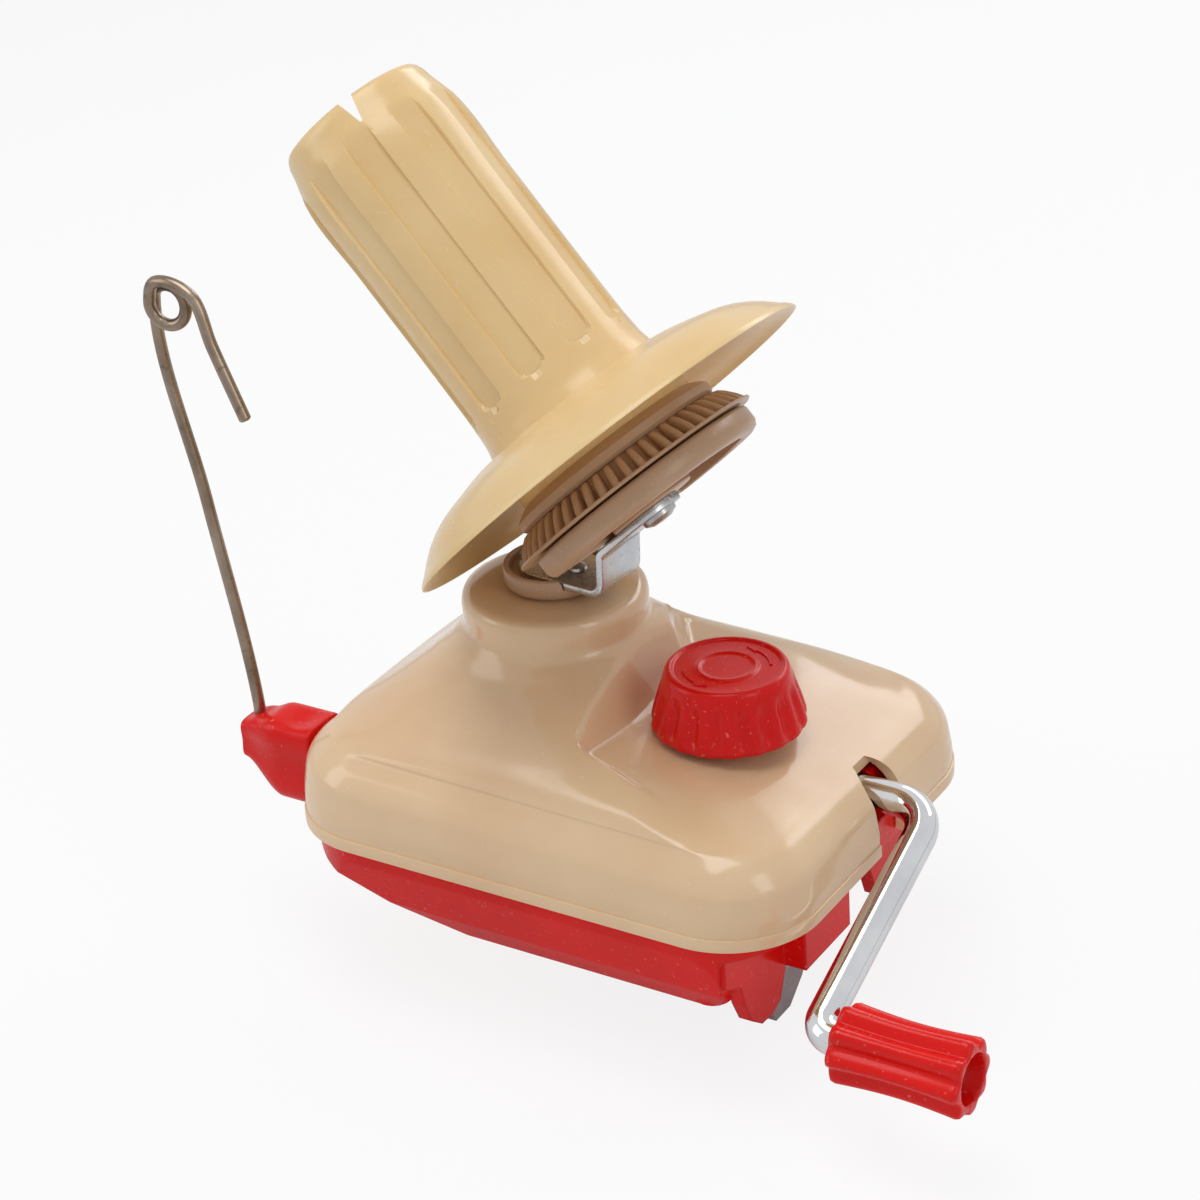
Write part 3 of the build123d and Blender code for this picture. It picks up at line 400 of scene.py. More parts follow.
def plastic(name, light, dark, rough, ripple=0.25, wear=0.5, edge=0.0, clouds=26.0, **constants):
    finish = Finish(name, IOR=1.5, **constants)
    cloud = finish.ramp(finish.noise(clouds, 3.0), 0.32, 0.68)
    speck = finish.ramp(finish.noise(900.0, 2.0), 0.66, 0.8)
    tint = finish.blend(cloud, paint(dark), paint(light))
    dust = finish.blend(0.18 * speck, tint, paint("FFF6E4"))
    dull = finish.ramp(finish.noise(60.0, 5.0, rough=0.65), 0.45, 0.75)
    scratch = finish.ramp(finish.noise(700.0, 2.0, stretch=(0.05, 1.0, 0.6)), 0.69, 0.75)
    wave = finish.noise(45.0, 1.0)
    grain = finish.noise(1600.0, 2.0)
    normal = finish.rounded(edge) if edge else None
    normal = finish.bump(wave, ripple, 0.6, normal)
    normal = finish.bump(grain + 2.0 * scratch * wear, 0.06, 0.05, normal)
    finish.feed(Base_Color=dust, Roughness=rough + 0.10 * dull + 0.12 * scratch * wear, Normal=normal)
    return finish.material


SHELL = plastic("cream_shell_plastic", "E8C8A0", "DFBA92", 0.14, ripple=0.35, Coat_Weight=0.2,
                Coat_Roughness=0.05)
SPOOL = plastic("cream_spool_plastic", "EACB97", "E2BE83", 0.20, ripple=0.22, Subsurface_Weight=0.12,
                Subsurface_Scale=0.004, Subsurface_Radius=(1.0, 0.7, 0.35))
RED = plastic("red_plastic", "E6120B", "D40A06", 0.20, ripple=0.3, Specular_IOR_Level=0.25)
RED_CAD = plastic("red_plastic_solid", "E6120B", "D40A06", 0.20, ripple=0.3, edge=1.0,
                  Specular_IOR_Level=0.25)
BROWN = plastic("taupe_plastic", "C4A080", "B08A68", 0.30, ripple=0.2)
NYLON = plastic("white_nylon", "EFEBDD", "E2DCC8", 0.38, ripple=0.1, edge=0.3)
print("plastics made")

# %% [markdown]
# ## Metals
# The crank is chromed, the strap is zinc plated and a little streaky, and the yarn guide is plain
# sprung wire that has gone brownish grey. Metal shows mostly what it mirrors, so the work is in
# the roughness and the fine lines left by drawing and rolling.

# %% Metal


def metal(name, light, dark, rough, lines=(1.0, 1.0, 1.0), depth=0.10, spots=0.0, edge=0.0):
    finish = Finish(name, Metallic=1.0)
    cloud = finish.ramp(finish.noise(70.0, 4.0, rough=0.6), 0.35, 0.7)
    drawn = finish.noise(1200.0, 3.0, stretch=lines)
    pits = finish.ramp(finish.noise(420.0, 3.0), 0.62, 0.70)
    tint = finish.blend(cloud, paint(dark), paint(light))
    tint = finish.blend(spots * pits, tint, paint("5E564C"))
    normal = finish.rounded(edge) if edge else None
    normal = finish.bump(drawn, depth, 0.04, normal)
    dull = rough + 0.12 * cloud * drawn + 0.25 * spots * pits
    finish.feed(Base_Color=tint, Roughness=dull, Normal=normal)
    return finish.material


CHROME = metal("bright_chrome", "E9EAEC", "D5D7DB", 0.05, lines=(0.04, 1.0, 1.0), depth=0.03)
ZINC = metal("zinc_plate", "D9DBDC", "B9BDC1", 0.24, lines=(1.0, 0.06, 1.0), depth=0.20, spots=0.25)
STEEL = metal("turned_steel", "C9C9C8", "AEAEAE", 0.28, depth=0.12, edge=0.2)
WIRE = metal("sprung_wire", "A79686", "7F6E5F", 0.27, lines=(1.0, 1.0, 0.04), depth=0.20, spots=0.5)
CAST = metal("cast_zinc", "C3C5C6", "A4A7A9", 0.42, depth=0.35, spots=0.2, edge=0.6)
BRASS = metal("turned_brass", "D9B565", "B8903F", 0.28, depth=0.12, edge=0.2)
print("metals made")

# %% [markdown]
# ## Rubber
# The jaw's pad is black rubber with a cloth-like grain so that it grips the table.

# %% Pad rubber


def rubber(name):
    finish = Finish(name, IOR=1.5)
    grain = finish.noise(800.0, 4.0)
    chalk = finish.ramp(finish.noise(90.0, 4.0), 0.5, 0.8)
    finish.feed(
        Base_Color=finish.blend(chalk, paint("262423"), paint("3B3836")),
        Roughness=0.72 + 0.12 * grain,
        Normal=finish.bump(grain, 0.5, 0.15),
    )
    return finish.material


RUBBER = rubber("pad_rubber")
print("rubber made")

# %% [markdown]
# ## Finish of the CAD parts that show as they are
# Shafts, bushes, gears and screws inside the housing already have their right shape, so each one
# only gets the finish of its own material slot.

# %% Dress the CAD nodes
SLOT_FINISH = {
    "cream_shell": SHELL, "cream_spool": SPOOL, "red_plastic": RED_CAD, "brown_plastic": BROWN,
    "white_nylon": NYLON, "chrome": CHROME, "steel": STEEL, "strap_steel": ZINC,
    "wire_steel": WIRE, "zinc": CAST, "brass": BRASS, "pad_rubber": RUBBER,
}
node_slot = {part["node"]: part["material_slot"] for part in frame["record"]["subparts"]}
for node, solid in frame["nodes"].items():
    solid.data.materials.clear()
    solid.data.materials.append(SLOT_FINISH[node_slot[node]])
print("dressed", len(node_slot), "CAD nodes")


def dress(piece, node, finish):
    """Gives a piece its finish and the body of the CAD node that it stands for, and hides that node."""
    piece.data.materials.clear()
    piece.data.materials.append(finish)
    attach(piece, frame["nodes"][node].parent.name.split(":")[1])
    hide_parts(node)
    print(piece.name, "faces", len(piece.data.polygons))


# %% [markdown]
# ## The spool
# A hollow moulded tube with a closed top, ten shallow channels down its sides, a dished flange and
# a V-shaped slit that holds the yarn's end. It is one turning. Where a channel runs, the points of
# the wall are held back to a flat floor. The points lie close together at the channels' edges, which
# keeps those edges crisp, and the channels run out by themselves where the shoulder tapers in.

# %% Spool outline
SPOOL_TOP = 72.5
CHANNELS = 10
CHANNEL_HALF = 3.5
CHANNEL_FLOOR = 20.7
CHANNEL_LOW = -4.5
CHANNEL_ROUND = 2.6
TUBE_R = 21.7
TUBE_OUTSIDE = [(0.5, SPOOL_TOP), (8.0, 72.3), (14.0, 71.9), (17.4, 71.4), (18.3, 71.1), (18.85, 70.4),
                (19.9, 66.6), (21.0, 62.6), (21.5, 60.8), (TUBE_R, 59.5), (21.75, 40.0), (21.8, 10.0),
                (21.9, -1.9), (21.92, -3.1), (21.95, -3.8), (22.0, -4.25), (22.0, -4.45), (22.1, -6.0),
                (22.4, -10.0), (23.2, -13.4)]
FLANGE_TOP = [(24.5, -13.8), (29.0, -14.0), (34.8, -15.4), (43.5, -18.3), (48.5, -21.6), (52.0, -24.8),
              (53.8, -26.4), (54.0, -27.0)]
FLANGE_UNDER = [(53.5, -27.1), (52.4, -26.1), (47.7, -23.6), (42.7, -20.3), (34.0, -17.4), (28.2, -16.2),
                (24.7, -16.7)]
SKIRT = [(23.8, -17.3), (23.7, -18.0), (23.7, -27.7), (21.5, -27.7)]
TUBE_INSIDE = [(21.4, -27.0), (21.0, -12.0), (18.9, 8.0), (18.7, 60.0), (16.8, 68.6), (15.0, 69.5),
               (0.5, 70.3)]
outside = flow(TUBE_OUTSIDE, 1.2) + flow(FLANGE_TOP, 1.5)
inside = flow(FLANGE_UNDER, 2.0) + SKIRT + TUBE_INSIDE
print("spool outline has", len(outside), "points outside and", len(inside), "inside")

# %% Channels


def spool_angles():
    """Angles round the spool, close together at the edges of each channel."""
    offsets = (0.0, 1.2, 2.4, 3.2, 3.5, 3.6, 3.8, 4.6, 5.8)
    angles = []
    for k in range(CHANNELS):
        middle = 2 * math.pi * (k + 0.5) / CHANNELS
        angles += [middle - across / TUBE_R for across in reversed(offsets[1:])]
        angles += [middle + across / TUBE_R for across in offsets]
        angles.append(middle + math.pi / CHANNELS)
    return angles


def channel_dip(x, y, z):
    """Holds a point of the outside wall back to a channel's flat floor."""
    radius = math.hypot(x, y)
    if not 18.5 <= radius <= 24.0 or not CHANNEL_LOW <= z <= 70.0:
        return x, y, z
    pitch = 2 * math.pi / CHANNELS
    off = math.atan2(y, x) % pitch - pitch / 2
    end = min(1.0, (z - CHANNEL_LOW) / CHANNEL_ROUND)
    width = CHANNEL_HALF * (1 - (1 - end) ** 2.5) ** 0.4
    edge = smooth_step(0.15, -0.02, abs(off) * TUBE_R - width - 0.02)
    floor = min(radius, CHANNEL_FLOOR / math.cos(off))
    share = mix(radius, floor, edge) / radius
    return x * share, y * share, z


print("angles round the spool:", len(spool_angles()))

# %% Spool and slit
SLIT_DEPTH = 8.0
SLIT_TURN = 45.0
SLIT = [(-2.6, SPOOL_TOP + 2), (2.6, SPOOL_TOP + 2), (0.3, SPOOL_TOP - SLIT_DEPTH),
        (-0.3, SPOOL_TOP - SLIT_DEPTH)]
SPOOL_SHARP = 32
spool = lathe("spool_shell", outside + inside, SPOOL_AXIS, loop=True, form=channel_dip,
              sharp=SPOOL_SHARP, angles=spool_angles())
slit_rings = [[(x, y, z) for x, z in SLIT] for y in (-30, 30)]
slit_cutter = skin("slit", slit_rings, SPOOL_AXIS @ turn("Z", SLIT_TURN))
dress(cut(spool, slit_cutter, SPOOL_SHARP), "spool", SPOOL)

# %% [markdown]
# ## The gear under the spool
# A brown collar with a ring of thin blades that stand on a closed rim. The body is a turning. The
# blades repeat round it, so Geometry Nodes place one blade on the ring again and again. Each tree
# ends in Realize Instances, because an exported file holds real faces only.

# %% A tree that repeats a shape round an axis


def repeat_tree():
    """Geometry Nodes: copies of a shape, evenly spaced about the place's up axis."""
    tree = bpy.data.node_groups.new("repeat_round", "GeometryNodeTree")
    face = tree.interface
    face.new_socket("Geometry", in_out="OUTPUT", socket_type="NodeSocketGeometry")
    for name, kind in (("Count", "Int"), ("Radius", "Float"), ("Start", "Float"), ("Shape", "Object"),
                       ("Finish", "Material")):
        face.new_socket(name, in_out="INPUT", socket_type=f"NodeSocket{kind}")
    nodes = tree.nodes
    given = nodes.new("NodeGroupInput")
    points = nodes.new("GeometryNodePoints")
    index = nodes.new("GeometryNodeInputIndex")
    step = nodes.new("ShaderNodeMath")
    step.operation = "DIVIDE"
    step.inputs[0].default_value = 2 * math.pi
    angle = nodes.new("ShaderNodeMath")
    angle.operation = "MULTIPLY_ADD"
    spin = nodes.new("ShaderNodeCombineXYZ")
    across = nodes.new("ShaderNodeCombineXYZ")
    swing = nodes.new("ShaderNodeVectorRotate")
    swing.rotation_type = "Z_AXIS"
    copies = nodes.new("GeometryNodeInstanceOnPoints")
    shape = nodes.new("GeometryNodeObjectInfo")
    real = nodes.new("GeometryNodeRealizeInstances")
    coat = nodes.new("GeometryNodeSetMaterial")
    result = nodes.new("NodeGroupOutput")
    for source, target in (
        (given.outputs["Count"], points.inputs["Count"]),
        (given.outputs["Count"], step.inputs[1]),
        (index.outputs[0], angle.inputs[0]),
        (step.outputs[0], angle.inputs[1]),
        (given.outputs["Start"], angle.inputs[2]),
        (angle.outputs[0], spin.inputs["Z"]),
        (angle.outputs[0], swing.inputs["Angle"]),
        (given.outputs["Radius"], across.inputs["X"]),
        (across.outputs[0], swing.inputs["Vector"]),
        (swing.outputs[0], points.inputs["Position"]),
        (points.outputs[0], copies.inputs["Points"]),
        (given.outputs["Shape"], shape.inputs["Object"]),
        (shape.outputs["Geometry"], copies.inputs["Instance"]),
        (spin.outputs[0], copies.inputs["Rotation"]),
        (copies.outputs[0], real.inputs[0]),
        (real.outputs[0], coat.inputs["Geometry"]),
        (given.outputs["Finish"], coat.inputs["Material"]),
        (coat.outputs[0], result.inputs[0]),
    ):
        tree.links.new(source, target)
    return tree


REPEAT = repeat_tree()
print("repeat tree has", len(REPEAT.nodes), "nodes")

# %% Repeat a shape round its axis


def repeat_round(name, shape, count, radius, finish, place, start=0.0):
    """One plain mesh of evenly spaced copies; the shape it copies is removed."""
    piece = bpy.data.objects.new(name, bpy.data.meshes.new(name))
    bpy.context.scene.collection.objects.link(piece)
    modifier = piece.modifiers.new("repeat", "NODES")
    modifier.node_group = REPEAT
    named = {"Count": count, "Radius": radius * MM, "Start": start, "Shape": shape, "Finish": finish}
    for item in REPEAT.interface.items_tree:
        if item.in_out == "INPUT":
            modifier[item.identifier] = named[item.name]
    settle(piece)
    bpy.data.objects.remove(shape)
    metres = place.copy()
    metres.translation = place.translation * MM
    piece.data.transform(metres)
    return piece


# %% [markdown]
# Each blade is a thin upright fin that grows outwards towards the closed rim, with its outer
# corners rounded. Five outlines of six points, one above the other, are enough for that.

# %% Spool gear
BLADES = 54
GEAR_BODY = [(6.0, -27.8), (26.7, -27.8), (27.3, -28.4), (27.3, -30.2), (26.6, -31.0), (25.9, -31.1),
             (28.4, -36.2), (32.9, -36.4), (33.0, -36.8), (32.6, -37.1), (20.0, -37.1), (6.0, -37.1)]
# height, inner radius, outer radius, half thickness
BLADE = [(-31.15, 25.4, 27.0, 0.45), (-31.5, 25.4, 28.2, 0.7), (-32.4, 25.8, 29.3, 0.82),
         (-34.5, 26.8, 31.1, 0.9), (-36.5, 27.6, 32.4, 0.95)]
blade_rings = []
for z, low_r, high_r, half in BLADE:
    soft = high_r - 0.5
    right = [(low_r, half, z), (soft, half, z), (high_r, half * 0.5, z)]
    blade_rings.append(right + [(x, -y, z) for x, y, z in reversed(right)])
blade = ease(skin("blade", blade_rings), 0.2, 50, 2)
blades = repeat_round("blades", blade, BLADES, 0.0, BROWN, SPOOL_AXIS)
gear_profile = flow(GEAR_BODY[:6], 1.5) + GEAR_BODY[6:]
gear_body = lathe("gear_body", gear_profile, SPOOL_AXIS, steps=3 * BLADES, loop=True)
dress(join("spool_gear_ring", gear_body, blades), "spool_gear", BROWN)

# %% [markdown]
# ## The flat-sided cover and the cup
# Both are brown turnings. The cover loses a slice on one side, so its points are held back to a
# flat there. The cup's wall drops to its floor where the strap leaves.

# %% Cover
COVER_LOW = -43.5
SHROUD = [(2.55, -37.6), (30.0, -37.6), (30.7, -37.9), (31.0, -38.6), (31.0, -41.6), (30.3, -42.9),
          (29.0, COVER_LOW), (26.0, COVER_LOW), (25.6, -43.2), (25.6, -40.4), (24.0, -40.0),
          (12.0, -40.0), (11.0, -40.4), (11.0, -43.2), (10.6, COVER_LOW), (2.55, COVER_LOW)]


def flat_side(x, y, z):
    """Holds the rim, and the hollow inside it, back to the flat."""
    reach = -12.5 if math.hypot(x, y) > 25.8 else -11.0
    return max(x, reach), y, z


shroud = lathe("gear_cover", SHROUD, SPOOL_AXIS, steps=240, loop=True, form=flat_side, sharp=55)
dress(ease(shroud, 0.5, 60), "gear_shroud", BROWN)

# %% Cup
CUP_FLOOR = 2.8
CUP_LIP = 5.3
CUP = [(4.1, 0.0), (10.6, 0.0), (11.6, 0.4), (12.0, 1.3), (12.0, 4.6), (11.7, 5.15), (11.2, CUP_LIP),
       (10.75, 5.1), (10.5, 4.6), (10.4, 3.4), (9.9, CUP_FLOOR), (4.1, CUP_FLOOR)]


def strap_gate(x, y, z):
    """Lowers the wall to the floor where the strap passes."""
    gate = smooth_step(8.6, 8.2, abs(y)) if x > 0 else 0.0
    return x, y, min(z, mix(CUP_LIP, CUP_FLOOR, gate))


cup_place = CARRIER @ shift(0, 0, CUP_Z)
cup = lathe("carrier_dish", CUP, cup_place, steps=200, loop=True, form=strap_gate, sharp=50)
dress(cup, "carrier_cup", BROWN)

# %% [markdown]
# ## The strap
# A flat steel bar bent twice like a Z. It is a rounded rectangle carried along a bent line. Each
# section stays square to the line, and its width shrinks round both ends.

# %% Bent lines


def bent(corners, radii, step):
    """Points along straight runs that are joined by arcs."""
    corners = [Vector(c) for c in corners]
    line = [corners[0]]
    for before, corner, after, radius in zip(corners, corners[1:], corners[2:], radii):
        back = (before - corner).normalized()
        ahead = (after - corner).normalized()
        half = back.angle(ahead) / 2
        middle = corner + (back + ahead).normalized() * radius / math.sin(half)
        start = corner + back * radius / math.tan(half)
        turn_by = math.pi - 2 * half
        axis = back.cross(ahead).normalized() * -1
        count = max(6, round(radius * turn_by / step))
        for k in range(count + 1):
            spin = Matrix.Rotation(turn_by * k / count, 3, axis)
            line.append(middle + spin @ (start - middle))
    line.append(corners[-1])
    full = [line[0]]
    for a, b in zip(line, line[1:]):
        count = max(1, round((b - a).length / (step * 3)))
        full += [a.lerp(b, (k + 1) / count) for k in range(count)]
    return full


# %% The strap's line
STRAP_HALF = 8.0
STRAP_THICK = 2.0
STRAP_GAP = 0.02
STRAP_Z = CUP_Z + CUP_FLOOR + STRAP_THICK / 2 + STRAP_GAP
STRAP_DEPTH = COVER_LOW - STRAP_GAP - STRAP_THICK / 2
STRAP_CORNER_X = 19.0
STRAP_BEND = 3.0
SLOPE = math.radians(TILT)


def on_spool(e, t):
    """Carrier x and z of a place e across and t along the spool's axis."""
    x = e * math.cos(SLOPE) - t * math.sin(SLOPE)
    return x, CROSSING_Z + e * math.sin(SLOPE) + t * math.cos(SLOPE)


web_e = (19.4 + STRAP_DEPTH * math.sin(SLOPE)) / math.cos(SLOPE)
strap_corners = [(-8.4, 0, STRAP_Z), (STRAP_CORNER_X, 0, STRAP_Z)]
for e in (web_e, 6.0):
    x, z = on_spool(e, STRAP_DEPTH)
    strap_corners.append((x, 0, z))
strap_line = bent(strap_corners, (STRAP_BEND, STRAP_BEND), 0.5)
strap_length = sum((b - a).length for a, b in zip(strap_line, strap_line[1:]))
print("strap is", round(strap_length, 1), "mm long before bending")

# %% The strap's skin


def strap_section(centre, ahead, half):
    """Rounded rectangle across the strap."""
    up = Vector((0, 1, 0)).cross(ahead)
    side = Vector((0, 1, 0))
    soft = min(0.5, half * 0.5)
    thick = STRAP_THICK / 2
    ring = []
    for sx, sz in ((1, 1), (-1, 1), (-1, -1), (1, -1)):
        for k in range(4):
            angle = math.pi / 6 * (k if sx * sz > 0 else 3 - k)
            ring.append(centre + side * sx * (half - soft + soft * math.cos(angle))
                        + up * sz * (thick - soft + soft * math.sin(angle)))
    return ring


strap_rings = []
run = 0.0
for k, point in enumerate(strap_line):
    run += (point - strap_line[k - 1]).length if k else 0.0
    near = strap_line[min(k + 1, len(strap_line) - 1)] - strap_line[max(k - 1, 0)]
    end = min(run, strap_length - run)
    reach = max(0.0, STRAP_HALF - end)
    half = max(0.6, math.sqrt(STRAP_HALF**2 - reach**2))
    strap_rings.append(strap_section(point, near.normalized(), half))
strap = skin("bent_strap", strap_rings, CARRIER, sharp=60)
post_hole = lathe("post_hole", [(2.8, STRAP_Z - 4), (2.8, STRAP_Z + 4)], CARRIER, steps=48)
cut(strap, post_hole, 60)
dress(strap, "carrier_strap", ZINC)

# %% [markdown]
# ## The upper shell
# The cream cover starts as a rounded rectangle at its rim and ends as a round boss under the cup.
# Rings that change from the one outline to the other give the long concave neck. The deck for the
# knob is a second, sloping surface. Where it is the lower of the two it wins, through a smooth
# minimum that rounds the ledge.

# %% Upper shell outline
HALF_X = 69.0
HALF_Y = 55.2
CORNER_R = 23.0
SIDE_STEPS = 40
CORNER_STEPS = 30
SIDE_ARC = 44.0


def outline(inset):
    """Rounded rectangle drawn in by an inset, as points that go round it."""
    corner = CORNER_R - inset
    core_x = HALF_X - CORNER_R
    core_y = HALF_Y - CORNER_R
    reach_x = core_x + corner
    reach_y = core_y + corner
    points = []
    for quarter in range(4):
        spin = math.pi / 2 * quarter
        wide, long = (reach_x, core_y) if quarter % 2 == 0 else (reach_y, core_x)
        corner_x, corner_y = (core_x, core_y) if quarter % 2 == 0 else (core_y, core_x)
        for k in range(SIDE_STEPS):
            points.append(Vector((wide, long * (2 * k / SIDE_STEPS - 1))).to_3d())
        for k in range(CORNER_STEPS):
            angle = math.pi / 2 * k / CORNER_STEPS
            x = corner_x + corner * math.cos(angle)
            points.append(Vector((x, corner_y + corner * math.sin(angle), 0)))
        block = points[-(SIDE_STEPS + CORNER_STEPS):]
        points[-(SIDE_STEPS + CORNER_STEPS):] = [Matrix.Rotation(spin, 3, "Z") @ p for p in block]
    return points


def boss_circle(radius):
    """The same number of points round the boss, side by side with the outline's."""
    angles = []
    for quarter in range(4):
        for k in range(SIDE_STEPS):
            angles.append(90 * quarter + SIDE_ARC * (k / SIDE_STEPS - 0.5))
        for k in range(CORNER_STEPS):
            angles.append(90 * quarter + SIDE_ARC / 2 + (90 - SIDE_ARC) * k / CORNER_STEPS)
    points = []
    for angle in map(math.radians, angles):
        points.append(Vector((TOWER_X + radius * math.cos(angle), radius * math.sin(angle), 0)))
    return points


print("points round the shell:", len(outline(0)), "and round the boss:", len(boss_circle(BOSS_R)))

# %% [markdown]
# The deck's outline runs out past the shell on two sides, because the deck is open there. Towards
# the neck and along the front its height climbs steeply outside the outline, so the roof wins.

# %% Deck
DECK = [(9.9, -31.5), (60.0, -45.0), (138.0, -45.0), (138.0, 110.0), (-4.6, 110.0), (-1.6, 33.0),
        (11.4, 15.0), (11.4, -14.0)]
DECK_X = 10.4
DECK_RISE = 28.3
DECK_FALL = math.tan(math.radians(4.3))


def outside_of(polygon, x, y):
    """Distance from a point to the polygon, 0 inside it."""
    spot = Vector((x, y))
    inside = False
    least = 1e9
    for (ax, ay), (bx, by) in zip(polygon, polygon[1:] + polygon[:1]):
        if (ay > y) != (by > y) and x < (bx - ax) * (y - ay) / (by - ay) + ax:
            inside = not inside
        a, b = Vector((ax, ay)), Vector((bx, by))
        share = min(1.0, max(0.0, (spot - a).dot(b - a) / (b - a).length_squared))
        least = min(least, (spot - a.lerp(b, share)).length)
    return 0.0 if inside else least


def deck_height(x, y):
    """Height of the sloping deck, rising outside its outline."""
    away = outside_of(DECK, x, y)
    wall = 1.6 * (math.sqrt(away**2 + 9.0) - 3.0) + 0.27 * away**2
    nub = 1.3 * math.exp(-(math.hypot(x - 60.6, y - 31.9) / 2.6) ** 4)
    return RIM_Z + DECK_RISE - (x - DECK_X) * DECK_FALL + wall + nub


def lower_of(a, b, blend):
    """Smooth minimum."""
    share = min(1.0, max(0.0, 0.5 + 0.5 * (b - a) / blend))
    return mix(b, a, share) - blend * share * (1 - share)


print("deck height at the knob:", round(deck_height(SCREW_X, SCREW_Y), 2))

# %% Shell rings
SHELL_WALL = 2.2
SHELL_SHARP = 42
LEDGE_ROUND = 2.6
ROOF_FALL = math.tan(math.radians(1.2))
# share of the way to the boss, inset, rise above the rim
SIDES = [(0, 0.5, 3.1), (0, 0.5, 7.0), (0, 1.0, 10.5), (0, 1.9, 14.6), (0, 4.0, 17.8), (0, 7.0, 20.4),
         (0.13, 3.6, 21.9), (0.30, 0, 24.0), (0.484, 0, 28.0), (0.65, 0, 32.0), (0.80, 0, 36.0),
         (0.924, 0, 40.0), (1.0, 0, 44.0), (1.0, 0, 47.0), (1.0, 0, 50.0), (1.0, 0.7, 51.7),
         (1.0, 2.4, BOSS_RISE)]
LINE_SCALE = 46.0


def shell_ring(share, inset, rise, wall):
    """One ring of the shell; wall draws it inwards for the inside."""
    drawn = inset + wall
    tilt = ROOF_FALL * max(0.0, 1 - share) * smooth_step(3.0, 10.0, rise)
    sunk = wall * smooth_step(6.0, 24.0, rise)
    ring = []
    for rim_point, boss_point in zip(outline(drawn), boss_circle(BOSS_R - drawn)):
        point = rim_point.lerp(boss_point, share)
        z = RIM_Z + rise - tilt * (point.x - TOWER_X * share) - sunk
        if share < 0.999 and rise > 9.0:
            z = lower_of(z, deck_height(point.x, point.y) - wall, LEDGE_ROUND)
        ring.append((point.x, point.y, z))
    return ring


# %% Shell moulding
scaled_sides = flow([(share * LINE_SCALE, inset, rise) for share, inset, rise in SIDES], 0.9)
sides = [(share / LINE_SCALE, inset, rise) for share, inset, rise in scaled_sides]
outer_rings = [shell_ring(0, 0, 0, 0), shell_ring(0, 0, 2.7, 0), shell_ring(0, 0.12, 3.0, 0)]
outer_rings += [shell_ring(*spot, 0) for spot in sides]
for inset, rise in ((9, BOSS_RISE), (16.38, BOSS_RISE), (16.38, 44.0), (13.9, 43.5)):
    outer_rings.append(shell_ring(1, inset, rise, 0))
inner_rings = [shell_ring(1, 13.9, 50.3, 0), shell_ring(1, 4.0, 50.3, 0)]
inner_rings += [shell_ring(*spot, SHELL_WALL) for spot in sides[-14::-3]]
inner_rings.append(shell_ring(0, 0.5, 0, SHELL_WALL))
upper = skin("upper_moulding", outer_rings + inner_rings, loop=True, sharp=SHELL_SHARP)
print("upper shell faces", len(upper.data.polygons))

# %% [markdown]
# The notch for the crank is a slot with a round top, cut through the end wall. The hole under the
# knob is cut too, and a low round seat for the knob is set round it.

# %% Notch and knob hole
NOTCH_R = 6.25
NOTCH_Z = RIM_Z + 14.55
HOLE_R = 5.3
SEAT = [(HOLE_R, 24.5), (11.4, 24.5), (11.4, 27.9), (11.1, 28.2), (5.6, 28.2), (HOLE_R, 27.9)]
arch = [(CRANK_Y + NOTCH_R, RIM_Z - 4)]
for k in range(25):
    angle = math.pi * k / 24
    arch.append((CRANK_Y + NOTCH_R * math.cos(angle), NOTCH_Z + NOTCH_R * math.sin(angle)))
arch.append((CRANK_Y - NOTCH_R, RIM_Z - 4))
cut(upper, skin("notch", [[(x, y, z) for y, z in arch] for x in (60.0, 80.0)]), SHELL_SHARP)
hole_line = [(HOLE_R, RIM_Z + 15), (HOLE_R, RIM_Z + 45)]
cut(upper, lathe("knob_hole", hole_line, shift(SCREW_X, SCREW_Y, 0), steps=64), SHELL_SHARP)
seat = lathe("knob_seat", SEAT, shift(SCREW_X, SCREW_Y, RIM_Z), steps=96, loop=True)
dress(join("upper_shell_moulding", upper, seat), "upper_shell", SHELL)

# %% [markdown]
# ## The crank
# An 8 mm chromed rod with two bends, and a lobed red handle that spins on its end. The rod is a
# round section carried along the bent line. The handle's radius follows a wave round its axis and
# draws in at its waist.

# %% Crank rod


def round_bar(name, line, radius, steps=40, end_round=0.6):
    """Round bar along a line of points, its ends slightly rounded."""
    nexts = line[1:] + line[-1:]
    befores = line[:1] + line[:-1]
    aheads = [(after - before).normalized() for before, after in zip(befores, nexts)]
    turns = [2 * math.pi * i / steps for i in range(steps)]
    side = aheads[0].orthogonal().normalized()
    rings = []
    for k, (point, ahead) in enumerate(zip(line, aheads)):
        side = (side - ahead * side.dot(ahead)).normalized()
        up = ahead.cross(side)
        ring = [point + (side * math.cos(a) + up * math.sin(a)) * radius for a in turns]
        if k in (0, len(line) - 1):
            way = -end_round if k == 0 else end_round
            tip = [p + (point - p) * (end_round / radius) for p in ring]
            base = [p - ahead * way for p in ring]
            rings += [tip, base] if k == 0 else [base, tip]
        else:
            rings.append(ring)
    return skin(name, rings, sharp=60)


ROD_BENDS = (9.0, 4.9)
SPIGOT_R = 2.5
SPIGOT_START = 1.0
rod_start, spigot_end = (corner.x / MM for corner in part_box("crank_rod"))
rod_corners = [(rod_start, CRANK_Y, CRANK_Z), (ARM_X, CRANK_Y, CRANK_Z), (ARM_X, ARM_END_Y, ARM_END_Z),
               (GRIP_X, ARM_END_Y, ARM_END_Z)]
rod = round_bar("rod", bent(rod_corners, ROD_BENDS, 0.7), ROD_R)


def on_spigot(x):
    """A place on the spigot's axis, with up along it."""
    return shift(x, ARM_END_Y, ARM_END_Z) @ turn("Y", 90)


